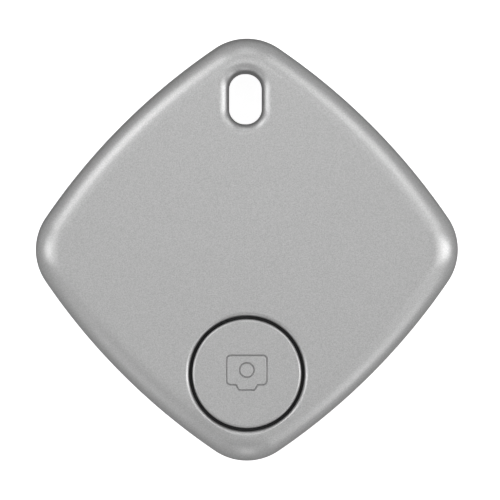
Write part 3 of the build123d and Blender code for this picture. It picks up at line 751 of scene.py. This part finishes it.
# ------------------------------------------------------------------ case
@dataclass
class CaseShells:
    """Front and rear shells of the case."""

    outline: Outline = field(default_factory=Outline)
    slot: KeySlot = field(default_factory=KeySlot)
    thickness: float = 8.0
    wall: float = 1.2
    front_edge: float = 2.6
    rear_edge: float = 2.2
    parting: float = 3.8
    seam: float = 0.15
    lap_height: float = 1.0
    lap_skin: float = 0.6
    lap_gap: float = 0.05
    slot_wall: float = 1.15
    front_lip: float = 1.1
    rear_lip: float = 0.8
    plate_inset: float = 1.9
    roof_inset: float = 1.55
    button_y: float = -12.89
    hole_radius: float = 6.005
    hole_lip: float = 0.42
    land_bottom: float = 7.1
    pocket_radius: float = 6.905
    pocket_steps: int = 60
    guide_wall: float = 0.6
    guide_depth: float = 0.6
    key_reach: float = 7.905
    key_width: float = 1.6
    face_insets: tuple[float, ...] = (2.05, 2.2, 2.35, 2.5, 2.6, 2.9, 3.4)
    roof_insets: tuple[float, ...] = (1.7, 1.8, 1.9, 2.0, 2.2, 2.4, 2.6)
    edge_steps: int = 26
    lip_steps: int = 14
    board_top: float = 5.8
    boss_spots: tuple[float, float] = (10.6, 8.4)
    boss_radius: float = 1.42
    boss_bore: float = 0.72
    bore_top: float = 7.5
    cell_y: float = -2.0
    recess_radius: float = 12.7
    recess_top: float = 0.80
    ledge_top: float = 1.60
    opening_radius: float = 11.5
    opening_steps: int = 72
    notch_radius: float = 12.05
    notch_angle: float = 20.0
    notch_steps: int = 12
    notch_places: tuple[float, ...] = (50.0, 170.0, 290.0)
    ring_radius: float = 13.3
    bay_inner: float = 12.25
    bay_outer: float = 13.05
    bay_arc: float = 110.0
    bay_top: float = 4.2
    rib_foot: float = 2.45
    rib_start: float = 10.25
    rib_end: float = 12.65
    rib_width: float = 0.8
    rib_places: tuple[float, ...] = (50.0, 90.0, 130.0, 230.0, 270.0, 310.0)
    mark_radius: float = 0.4
    mark_reach: float = 13.5
    mark_depth: float = 0.2
    mark_places: tuple[float, ...] = (90.0, 50.0)
    sound_x: float = 15.9
    sound_radius: float = 0.35
    sound_ring: float = 1.15
    sound_count: int = 6            # round the middle one

    def ring_points(self, loop: Loop, insets: tuple[float, ...], radius: float) -> Array:
        """Points on parallel curves inside the outline, clear of a circle round the button's middle.

        Args:
            loop: The outline.
            insets: How far in each curve is.
            radius: The circle's.

        Returns:
            (n, 2).
        """
        rings = np.concatenate([loop.grown(-inset) for inset in insets])
        return rings[np.linalg.norm(rings - [0, self.button_y], axis=1) > radius + CLEAR]

    def build_front(self) -> bpy.types.Object:
        """Front shell: rounded face, slot mouth, button hole with its rolled rim, and the hollow behind.

        Returns:
            The piece.
        """
        skin, loop, slot = Skin(), self.outline.loop(), self.slot.loop(self.outline)
        bottom, tongue, top = self.parting + self.seam, self.parting + self.lap_height, self.thickness
        roof, edge, inner_edge = top - self.wall, self.front_edge, self.front_edge - self.wall
        outer_stop = math.degrees(math.acos((edge - self.plate_inset) / edge))
        inner_stop = math.degrees(math.acos((edge - self.roof_inset) / inner_edge))
        face = self.outline.rounded_face(top, edge)
        ceiling = self.outline.rounded_face(roof, inner_edge, self.wall)

        skin.carry(
            loop,
            straight((-self.lap_skin, bottom), (-EDGE_BREAK, bottom))
            + round_run((-EDGE_BREAK, bottom + EDGE_BREAK), EDGE_BREAK, -90, 0, BREAK_STEPS)
            + straight((0, bottom + EDGE_BREAK), (0, top - edge))
            + round_run((-edge, top - edge), edge, 0, outer_stop, self.edge_steps),
        )
        hole = circle(0, self.button_y, self.hole_radius, steps=180)
        skin.fill(
            loop.grown(-self.plate_inset),
            [slot.grown(self.front_lip), hole.grown(self.hole_lip)],
            face,
            free=self.ring_points(loop, self.face_insets, self.hole_radius + self.hole_lip),
        )
        skin.carry(
            slot,
            round_run((self.front_lip, top - self.front_lip), self.front_lip, 90, 180, self.lip_steps)
            + straight((0, top - self.front_lip), (0, bottom + EDGE_BREAK))
            + mouth(EDGE_BREAK, bottom)
            + straight(
                (EDGE_BREAK, bottom),
                (self.lap_skin, bottom),
                (self.lap_skin, tongue),
                (self.slot_wall, tongue),
            ),
            lid=face,
        )
        tube = slot.grown(self.slot_wall)
        skin.wall(tube, tongue, ceiling(tube)[0], outward=True)
        skin.carry(
            hole,
            round_run((self.hole_lip, top - self.hole_lip), self.hole_lip, 90, 180, steps=10)
            + straight((0, top - self.hole_lip), (0, self.land_bottom)),
            lid=face,
        )
        # Pocket for the button's flange and its two keys, cut up into the roof.
        pocket = self.pocket_curve()
        skin.fill(pocket, [hole.points], flat_at(self.land_bottom), upward=False)
        skin.wall(pocket, ceiling(pocket)[0], self.land_bottom, outward=False)
        x, y = self.boss_spots
        bosses = [circle(i * x, j * y, self.boss_radius, steps=32) for i in (-1, 1) for j in (-1, 1)]
        bore = self.boss_bore - self.boss_radius
        for boss in bosses:
            skin.carry(
                boss,
                straight(
                    (-self.boss_radius, self.bore_top),
                    (bore, self.bore_top),
                    (bore, self.board_top),
                    (0, self.board_top),
                    (0, roof),
                ),
            )
        skin.fill(
            loop.grown(-self.roof_inset),
            [tube, pocket, *(boss.points for boss in bosses)],
            ceiling,
            upward=False,
            free=self.ring_points(loop, self.roof_insets, self.pocket_radius),
        )
        skin.carry(
            loop,
            self.turned(round_run((-edge, top - edge), inner_edge, 0, inner_stop, self.lip_steps))
            + straight(
                (-self.wall, top - edge), (-self.wall, tongue), (-self.lap_skin, tongue), (-self.lap_skin, bottom)
            ),
        )
        # Ring that guides the flange, in two parts between the key slots.
        gap = math.degrees(math.asin(self.key_width / 2 / self.pocket_radius))
        guide = self.pocket_radius, self.pocket_radius + self.guide_wall
        for turn in (0, 180):
            curve = sector(0, self.button_y, *guide, turn + gap, turn + 180 - gap, steps=self.pocket_steps)
            skin.block(curve, roof - self.guide_depth, roof + ROOT)
        made = skin.piece("front_shell_smooth")
        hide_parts("front_shell")
        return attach(made, "case")

    @staticmethod
    def turned(runs: list[Run]) -> list[Run]:
        """The same runs gone through the other way, with the solid on the other side.

        Args:
            runs: Profile pieces.

        Returns:
            The reversed pieces.
        """
        return [Run(r.offset[::-1], r.height[::-1], -r.normal[::-1]) for r in reversed(runs)]

    def pocket_curve(self) -> Array:
        """Plan of the flange's pocket: a circle joined with the bar that its keys slide in.

        Returns:
            Counter-clockwise curve, (n, 2).
        """
        gap = math.asin(self.key_width / 2 / self.pocket_radius)
        arc = np.linspace(gap, math.pi - gap, self.pocket_steps)
        tab = np.array([[-self.key_reach, self.key_width / 2], [-self.key_reach, -self.key_width / 2]])
        half = np.concatenate([self.pocket_radius * rays(arc), tab])
        return np.concatenate([half, -half]) + [0, self.button_y]

    def build_rear(self) -> bpy.types.Object:
        """Rear shell: rounded back, slot mouth, door recess with its ledge, sound holes and cell bay.

        Returns:
            The piece.
        """
        skin, loop, slot = Skin(), self.outline.loop(), self.slot.loop(self.outline)
        split, tongue, edge, wall = self.parting, self.parting + self.lap_height, self.rear_edge, self.wall
        skirt = self.lap_skin + self.lap_gap
        skin.carry(
            loop,
            round_run((-edge, edge), edge, -90, 0, self.edge_steps)
            + straight((0, edge), (0, split - EDGE_BREAK))
            + round_run((-EDGE_BREAK, split - EDGE_BREAK), EDGE_BREAK, 0, 90, BREAK_STEPS)
            + straight((-EDGE_BREAK, split), (-skirt, split), (-skirt, tongue), (-wall, tongue), (-wall, edge))
            + self.turned(round_run((-edge, edge), edge - wall, -90, 0, steps=12)),
        )
        skin.carry(
            slot,
            straight(
                (self.slot_wall, wall), (self.slot_wall, tongue), (skirt, tongue), (skirt, split), (EDGE_BREAK, split)
            )
            + round_run((EDGE_BREAK, split - EDGE_BREAK), EDGE_BREAK, 90, 180, BREAK_STEPS)
            + straight((0, split - EDGE_BREAK), (0, self.rear_lip))
            + mouth(self.rear_lip, steps=self.lip_steps),
        )
        recess = circle(0, self.cell_y, self.recess_radius, steps=220)
        ring = circle(0, self.cell_y, self.ring_radius, steps=160)
        lip = EDGE_BREAK * 2
        marks, sounds = self.marks(), self.sound_holes()
        for mark in marks:
            skin.carry(
                mark,
                straight((-self.mark_radius, self.mark_depth), (0, self.mark_depth), (0, EDGE_BREAK))
                + mouth(EDGE_BREAK),
            )
        for sound in sounds:
            skin.carry(sound, straight((0, wall), (0, EDGE_BREAK)) + mouth(EDGE_BREAK))
        skin.fill(
            loop.grown(-edge),
            [slot.grown(self.rear_lip), recess.grown(lip), *(hole.grown(EDGE_BREAK) for hole in (*marks, *sounds))],
            flat_at(0),
            upward=False,
        )
        skin.carry(recess, straight((0, self.recess_top), (0, lip)) + mouth(lip, steps=6))
        opening = self.opening_curve()
        skin.fill(recess.points, [opening], flat_at(self.recess_top), upward=False)
        skin.wall(opening, self.recess_top, self.ledge_top, outward=False)
        skin.fill(ring.points, [opening], flat_at(self.ledge_top))
        skin.carry(ring, straight((0, wall), (0, self.ledge_top)))
        skin.fill(
            loop.grown(-edge),
            [slot.grown(self.slot_wall), ring.points, *(hole.points for hole in sounds)],
            flat_at(wall),
        )
        half = self.bay_arc / 2
        for middle in (90.0, 270.0):
            curve = sector(0, self.cell_y, self.bay_inner, self.bay_outer, middle - half, middle + half, steps=64)
            skin.block(curve, self.ledge_top - ROOT, self.bay_top)
        for angle in self.rib_places:
            a = math.radians(angle)
            x, y = self.rib_start * math.cos(a), self.cell_y + self.rib_start * math.sin(a)
            skin.block(bar(x, y, self.rib_end - self.rib_start, self.rib_width, angle), self.rib_foot, self.bay_top)
        made = skin.piece("rear_shell_smooth")
        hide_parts("rear_shell")
        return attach(made, "case")

    def opening_curve(self) -> Array:
        """Plan of the opening in the door's ledge: a circle with a notch for each lug.

        Returns:
            Counter-clockwise curve, (n, 2).
        """
        parts, half = [], self.notch_angle / 2
        places = sorted(self.notch_places)
        for here, ahead in zip(places, [*places[1:], places[0] + 360]):
            notch = np.linspace(here - half, here + half, self.notch_steps)
            arc = np.linspace(here + half, ahead - half, self.opening_steps)
            parts += [self.notch_radius * rays(np.radians(notch)), self.opening_radius * rays(np.radians(arc))]
        return np.concatenate(parts) + [0, self.cell_y]

    def marks(self) -> list[Loop]:
        """Round marks beside the door, for its closed and open places."""
        spots = self.mark_reach * rays(np.radians(self.mark_places))
        return [circle(x, self.cell_y + y, self.mark_radius, steps=40) for x, y in spots]

    def sound_holes(self) -> list[Loop]:
        """The sound hole in the middle and those round it."""
        spots = self.sound_ring * rays(np.radians(np.arange(self.sound_count) * 360 / self.sound_count))
        return [circle(self.sound_x + x, y, self.sound_radius, steps=36) for x, y in ((0, 0), *spots)]

    def dress(self, paints: Paints, *shells: bpy.types.Object) -> None:
        """Paints the shells."""
        for shell in shells:
            paints.dress(shell, Slot.CASE_PAINT)


# ------------------------------------------------------------------ push button
@dataclass
class PushButton:
    """Round button with a sunk camera pictogram, and the flange and keys that hold it."""

    y: float = -12.89
    radius: float = 5.675
    top: float = 7.95
    rim: float = 0.28
    inside_top: float = 6.95
    flange_radius: float = 6.705
    flange_top: float = 6.95
    flange_bottom: float = 6.45
    hollow_radius: float = 4.9
    nub_radius: float = 1.0
    nub_bottom: float = 6.64
    key_reach: float = 7.205
    key_width: float = 1.4
    icon_lift: float = 0.37
    icon_width: float = 4.19
    icon_height: float = 3.05
    icon_corner: float = 0.42
    hump_height: float = 0.55
    hump_base: float = 2.25
    hump_top: float = 1.66
    hump_corner: float = 0.2
    lens_radius: float = 0.75
    groove_width: float = 0.22
    groove_depth: float = 0.14
    groove_steps: int = 16
    key_root: float = 0.3           # how far the keys are sunk in the flange

    def groove(self) -> list[Run]:
        """Rounded groove section: depth x (1 + cos(2 pi offset / width)) / 2 below the face.

        Returns:
            The run, from the outer edge to the inner one.
        """
        across = np.linspace(0.5, -0.5, self.groove_steps + 1) * self.groove_width
        phase = 2 * math.pi * across / self.groove_width
        height = self.top - self.groove_depth * (1 + np.cos(phase)) / 2
        slope = math.pi * self.groove_depth / self.groove_width * np.sin(phase)
        return [Run(across, height, unit(np.stack([-slope, np.ones_like(slope)], 1)))]

    def camera_loop(self) -> Loop:
        """Middle line of the pictogram's outline: a rounded box with a tapered hump towards -Y.

        Returns:
            The loop.
        """
        x, y = self.icon_width / 2, self.icon_height / 2
        corners = np.array(
            [
                [x, -y],
                [x, y],
                [-x, y],
                [-x, -y],
                [-self.hump_base / 2, -y],
                [-self.hump_top / 2, -y - self.hump_height],
                [self.hump_top / 2, -y - self.hump_height],
                [self.hump_base / 2, -y],
            ]
        )
        radii = np.concatenate([np.full(4, self.icon_corner), np.full(4, self.hump_corner)])
        return densified(rounded_polygon(corners + [0, self.y + self.icon_lift], radii, steps=9), longest=0.15)

    def build(self) -> bpy.types.Object:
        """Turned body, flat top with the grooves in it, and the two keys.

        Returns:
            The piece.
        """
        skin = Skin()
        body = circle(0, self.y, self.radius, steps=180)
        nub, hollow, flange = (r - self.radius for r in (self.nub_radius, self.hollow_radius, self.flange_radius))
        skin.carry(
            body,
            straight(
                (-self.radius, self.nub_bottom),
                (nub, self.nub_bottom),
                (nub, self.inside_top),
                (hollow, self.inside_top),
                (hollow, self.flange_bottom),
                (flange, self.flange_bottom),
                (flange, self.flange_top),
                (0, self.flange_top),
                (0, self.top - self.rim),
            )
            + round_run((-self.rim, self.top - self.rim), self.rim, 0, 90, steps=8),
        )
        camera = self.camera_loop()
        lens = circle(0, self.y + self.icon_lift, self.lens_radius, steps=72)
        half, level = self.groove_width / 2, flat_at(self.top)
        skin.fill(body.grown(-self.rim), [camera.grown(half)], level)
        skin.carry(camera, self.groove())
        skin.fill(camera.grown(-half), [lens.grown(half)], level)
        skin.carry(lens, self.groove())
        skin.fill(lens.grown(-half), [], level)
        for angle in (0, 180):
            root = self.flange_radius - self.key_root
            key = bar(root * math.cos(math.radians(angle)), self.y, self.key_reach - root, self.key_width, angle)
            skin.block(key, self.flange_bottom, self.flange_top)
        made = skin.piece("push_button_smooth")
        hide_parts("push_button")
        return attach(made, "button")

    def dress(self, paints: Paints, button: bpy.types.Object) -> None:
        """Paints the button like the case."""
        paints.dress(button, Slot.CASE_PAINT)


# ------------------------------------------------------------------ battery door
@dataclass
class BatteryDoor:
    """Turning door in the rear face, with a coin slot, a seal groove and three lugs."""

    y: float = -2.0
    face: float = 0.12
    flange_radius: float = 12.6
    flange_top: float = 0.75
    groove_outer: float = 12.515
    groove_inner: float = 12.135
    groove_bottom: float = 0.53
    collar_outer: float = 11.4
    collar_inner: float = 10.5
    collar_top: float = 2.30
    plate_top: float = 1.12
    edge: float = 0.12
    coin_length: float = 11.0
    coin_width: float = 1.7
    coin_depth: float = 0.5
    coin_rounding: float = 0.999    # of half its width
    mark_y: float = 8.6
    mark_radius: float = 0.4
    mark_depth: float = 0.2
    lug_radius: float = 11.95
    lug_bottom: float = 1.68
    lug_angle: float = 16.0
    lug_root: float = 0.3           # how far the lugs are sunk in the collar
    lug_places: tuple[float, ...] = (90.0, 210.0, 330.0)

    def build(self) -> bpy.types.Object:
        """Turned body, back face with its coin slot and mark, and the lugs.

        Returns:
            The piece.
        """
        skin = Skin()
        rim = circle(0, self.y, self.flange_radius, steps=220)
        steps = (self.groove_outer, self.groove_inner, self.collar_outer, self.collar_inner)
        outer, inner, collar, bore = (r - self.flange_radius for r in steps)
        skin.carry(
            rim,
            round_run((-self.edge, self.face + self.edge), self.edge, -90, 0, steps=6)
            + straight(
                (0, self.face + self.edge),
                (0, self.flange_top),
                (outer, self.flange_top),
                (outer, self.groove_bottom),
                (inner, self.groove_bottom),
                (inner, self.flange_top),
                (collar, self.flange_top),
                (collar, self.collar_top),
                (bore, self.collar_top),
                (bore, self.plate_top),
                (-self.flange_radius, self.plate_top),
            ),
        )
        x, y = self.coin_length / 2, self.coin_width / 2
        corners = np.array([[x, -y], [x, y], [-x, y], [-x, -y]]) + [0, self.y]
        coin = densified(rounded_polygon(corners, np.full(4, y * self.coin_rounding), steps=16), longest=0.6)
        mark = circle(0, self.y + self.mark_y, self.mark_radius, steps=40)
        for loop, depth, lip in ((coin, self.coin_depth, self.edge), (mark, self.mark_depth, EDGE_BREAK)):
            floor = self.face + depth
            skin.carry(loop, straight((0, floor), (0, self.face + lip)) + mouth(lip, self.face, steps=5))
            skin.fill(loop.points, [], flat_at(floor), upward=False)
        skin.fill(
            rim.grown(-self.edge),
            [coin.grown(self.edge), mark.grown(EDGE_BREAK)],
            flat_at(self.face),
            upward=False,
        )
        half, root = self.lug_angle / 2, self.collar_outer - self.lug_root
        for place in self.lug_places:
            curve = sector(0, self.y, root, self.lug_radius, place - half, place + half, steps=16)
            skin.block(curve, self.lug_bottom, self.collar_top)
        made = skin.piece("battery_door_smooth")
        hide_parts("battery_door")
        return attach(made, "door")

    def dress(self, paints: Paints, door: bpy.types.Object) -> None:
        """Paints the door like the case."""
        paints.dress(door, Slot.CASE_PAINT)


# ------------------------------------------------------------------ what is inside
@dataclass(frozen=True)
class SnapDome:
    """Thin spring dome under the plunger, which flattens as the button goes in; here it is built at rest only."""

    y: float = -12.89
    bottom: float = 5.95
    radius: float = 1.55
    height: float = 0.25
    sheet: float = 0.05
    pressed: float = 0.22           # share of its height left at full press
    steps: int = 96

    def build(self) -> bpy.types.Object:
        """Two spherical caps joined at the rim, each point axis + sphere radius x (cos a, sin a) turned round the axis.

        Returns:
            The piece.
        """
        skin, axis = Skin(), circle(0, self.y, 1.0, self.steps)
        rim, rise = self.radius - self.sheet, self.height - self.sheet
        outer, inner = ((r**2 + h**2) / (2 * h) for r, h in ((self.radius, self.height), (rim, rise)))
        outer_end, inner_end = math.degrees(math.acos(self.radius / outer)), math.degrees(math.acos(rim / inner))
        skin.carry(
            axis,
            straight((rim - 1, self.bottom), (self.radius - 1, self.bottom))
            + round_run((-1, self.bottom + self.height - outer), outer, outer_end, 90, steps=20)
            + round_run((-1, self.bottom + rise - inner), inner, 90, inner_end, steps=20),
        )
        made = skin.piece("snap_dome_smooth")
        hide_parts("switch_dome")
        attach(made, "case")
        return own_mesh(made)

    def dress(self, paints: Paints, piece: bpy.types.Object) -> None:
        """Gives the dome its spring steel."""
        paints.dress(piece, Slot.SPRING_STEEL)


@dataclass(frozen=True)
class Inside:
    """CAD pieces that keep their own meshes, and the slot each takes its finish from."""

    finishes: tuple[tuple[Slot, tuple[str, ...]], ...] = (
        # button_seal: a real black rubber ring, and also painted shade, a dark ring that darkens the foot of the gap
        # round the button
        (Slot.RUBBER_AND_GAP_SHADE, ("button_seal", "door_seal", "buzzer_gasket")),
        (Slot.CELL_STEEL, ("coin_cell_can", "coin_cell_cap")),
        (Slot.CELL_SEAL, ("coin_cell_gasket",)),
        (Slot.CELL_FILL, ("coin_cell_core",)),
        (Slot.BOARD_LAMINATE, ("circuit_board",)),
        (Slot.SCREW_STEEL, ("board_screws",)),
        (Slot.BLACK_PLASTIC, ("switch_base", "switch_plunger", "buzzer_case")),
        (Slot.BLACK_PLASTIC, ("bluetooth_chip", "buzzer_transistor", "chip_resistors")),
        (Slot.SPRING_STEEL, ("switch_cover", "switch_terminals", "negative_contact", "positive_contact")),
        (Slot.SPRING_STEEL, ("buzzer_diaphragm", "main_crystal", "watch_crystal")),
        (Slot.MAGNET_IRON, ("buzzer_magnet", "buzzer_yoke", "power_inductor")),
        (Slot.COPPER, ("buzzer_coil",)),
        (Slot.MESH_CLOTH, ("sound_mesh",)),
        (Slot.WHITE_CERAMIC, ("chip_antenna",)),
        (Slot.TAN_CERAMIC, ("chip_capacitors",)),
    )

    def dress(self, paints: Paints, nodes: dict[str, bpy.types.Object]) -> None:
        """Gives each inner piece its finish.

        Args:
            paints: The materials.
            nodes: The frame's CAD nodes by name.
        """
        for slot, names in self.finishes:
            for name in names:
                paints.dress(nodes[name], slot)
                log.info("%s: %s", name, slot.value)


# ------------------------------------------------------------------ studio
@dataclass(frozen=True)
class Softbox:
    """Rectangular studio light that faces the tag's middle. Sizes in metres, angles in degrees."""

    name: str
    azimuth: float      # round from +X towards +Y
    off_axis: float     # from straight up
    distance: float
    width: float        # across
    height: float       # up and down, in the plane of the axis
    radiance: float

    def build(self) -> bpy.types.Object:
        """Places the light and turns it to the tag.

        Returns:
            The light, hidden from the camera itself but not from reflections.
        """
        data = bpy.data.lights.new(self.name, "AREA")
        data.shape = "RECTANGLE"
        data.size, data.size_y = self.width, self.height
        data.energy = self.radiance * math.pi * self.width * self.height
        made = put(self.name, data)
        a, t = math.radians(self.azimuth), math.radians(self.off_axis)
        made.location = (
            self.distance * math.sin(t) * math.cos(a),
            self.distance * math.sin(t) * math.sin(a),
            self.distance * math.cos(t),
        )
        made.rotation_euler = Euler((0, t, a), "XYZ")
        made.visible_camera = False
        return made


@dataclass(frozen=True)
class SoftboxRing:
    """Eight equal softboxes round the tag, an eighth of a turn apart, each with its own strength."""

    name: str
    off_axis: float
    width: float
    height: float
    strengths: tuple[float, ...]    # from +X towards +Y
    distance: float = 1.2

    def build(self) -> None:
        """Builds the softboxes that are lit."""
        step = 360 / len(self.strengths)
        for i, strength in enumerate(self.strengths):
            if strength > 0:
                where = i * step, self.off_axis, self.distance
                Softbox(f"{self.name}_{i}", *where, self.width, self.height, strength).build()


@dataclass
class Studio:
    """Pale table, soft lights and the camera straight above the tag."""

    lens: float = 600.0             # mm
    sensor: float = 36.0            # mm
    frame_width: float = 52.2       # mm across the view, at the case's widest
    frame_height: float = 4.0       # mm, height of that plane
    aim: tuple[float, float] = (0.330, -0.041)
    table_radius: float = 3.0       # m
    table_tone: float = 0.50
    table_glow: float = 0.90
    backdrop_glow: float = 0.92
    backdrop_steps: tuple[int, int] = (64, 16)      # round it, and up a quarter turn
    room: float = 0.52
    dark_room: float = 0.06         # room light from its darkest way
    dark_way: tuple[float, float, float] = (-0.15, 0.45, -0.88)
    dark_from: float = 0.65         # cosine from that way where the light starts to fall
    key: Softbox = Softbox("key_softbox", 90, 15, 0.30, 0.12, 0.08, 1.30)
    rings: tuple[SoftboxRing, ...] = (
        SoftboxRing("top_ring", 24, 0.55, 0.45, (0.88, 0, 0, 0.06, 0.88, 0, 0, 0.12)),
        SoftboxRing("high_ring", 44, 0.70, 0.45, (1.66, 0.75, 0.20, 0.93, 1.00, 0.15, 0, 0.39)),
        SoftboxRing("middle_ring", 60, 0.75, 0.40, (1.92, 1.35, 0.99, 2.07, 1.88, 0, 0, 0)),
        SoftboxRing("low_ring", 74, 0.80, 0.34, (1.73, 0, 0, 0, 0.44, 0.61, 0.86, 1.40)),
    )

    def build(self) -> None:
        """Makes the table, room light, softboxes and camera."""
        scene = bpy.context.scene
        scene.view_settings.view_transform = "Standard"
        ring = circle(0, 0, self.table_radius, steps=96).points
        points = np.column_stack([ring, np.zeros(len(ring))])
        table = self.surface("table", points, np.arange(len(ring))[None], self.table_tone, self.table_glow)
        table.visible_glossy = False
        table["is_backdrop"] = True
        self.build_backdrop()
        self.light_room(scene)
        self.key.build()
        for ring in self.rings:
            ring.build()
        self.build_camera()

    @staticmethod
    def surface(name: str, points: Array, faces: Array, tone: float, glow: float) -> bpy.types.Object:
        """Surface of a matte grey that also gives white light.

        Args:
            name: Name of the object, its mesh and its paint.
            points: (n, 3), in metres.
            faces: Corner numbers, (m, k).
            tone: Its grey.
            glow: Its radiance.

        Returns:
            The object.
        """
        mesh = bpy.data.meshes.new(name)
        mesh.from_pydata(points.tolist(), [], faces.tolist())
        made = put(name, mesh)
        paint = bpy.data.materials.new(f"{name}_paint")
        paint.use_nodes = True
        wire(
            paint.node_tree.nodes["Principled BSDF"],
            Base_Color=(tone, tone, tone, 1),
            Roughness=1.0,
            Specular_IOR_Level=0.0,
            Emission_Color=(1, 1, 1, 1),
            Emission_Strength=glow,
        )
        mesh.materials.append(paint)
        return made

    def light_room(self, scene: bpy.types.Scene) -> None:
        """Room light: even, but falling to its darkest along one way from below.

        Args:
            scene: The scene.
        """
        world = bpy.data.worlds.new("room")
        world.use_nodes = True
        tree = world.node_tree
        along = tree.nodes.new("ShaderNodeVectorMath")
        along.operation = "DOT_PRODUCT"
        along.inputs[1].default_value = self.dark_way
        tree.links.new(add_node(tree, "TexCoord").outputs["Generated"], along.inputs[0])
        ends = {"From_Min": self.dark_from, "From_Max": 1, "To_Min": self.room, "To_Max": self.dark_room}
        fade = add_node(tree, "MapRange", Value=along.outputs["Value"], **ends)
        wire(tree.nodes["Background"], Color=(1, 1, 1, 1), Strength=fade.outputs["Result"])
        scene.world = world

    def build_backdrop(self) -> None:
        """Pale dome behind the table: radius times (cos e cos a, cos e sin a, sin e), e from 0 to a quarter turn.

        It only closes the view behind the tag, and gives the tag no light and no reflections.
        """
        n, m = self.backdrop_steps
        turn, climb = np.linspace(0, 2 * math.pi, n + 1), np.linspace(0, math.pi / 2, m + 1)[:-1]
        around, up = np.meshgrid(turn, climb, indexing="ij")
        points = self.table_radius * np.dstack([np.cos(up)[..., None] * rays(around), np.sin(up)])
        i, j = np.meshgrid(np.arange(n), np.arange(m - 1), indexing="ij")
        first = i * m + j
        faces = np.stack([first, first + 1, first + m + 1, first + m], 2).reshape(-1, 4)
        dome = self.surface("backdrop", points.reshape(-1, 3), faces, 0.0, self.backdrop_glow)
        dome.visible_diffuse = dome.visible_glossy = dome.visible_shadow = False
        dome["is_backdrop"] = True

    def build_camera(self) -> None:
        """Camera looking straight down, at the distance where the frame has its width at the case's widest."""
        data = bpy.data.cameras.new("camera")
        data.lens, data.sensor_width = self.lens, self.sensor
        distance = self.frame_width * self.lens / self.sensor
        camera = put("camera", data)
        camera.location = (self.aim[0] * MM, self.aim[1] * MM, (self.frame_height + distance) * MM)
        bpy.context.scene.camera = camera


def main() -> None:
    """Builds and dresses each sub-assembly, then the studio."""
    logging.basicConfig(level=logging.INFO, format="%(name)s: %(message)s")
    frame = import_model()
    paints = Paints()
    shells, button, door, dome = CaseShells(), PushButton(), BatteryDoor(), SnapDome()
    shells.dress(paints, shells.build_front(), shells.build_rear())
    button.dress(paints, button.build())
    door.dress(paints, door.build())
    dome.dress(paints, dome.build())
    Inside().dress(paints, frame["nodes"])
    Studio().build()
    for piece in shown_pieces():
        log.info("%s: %d faces", piece.name, len(piece.data.polygons))


if __name__ == "__main__":
    main()
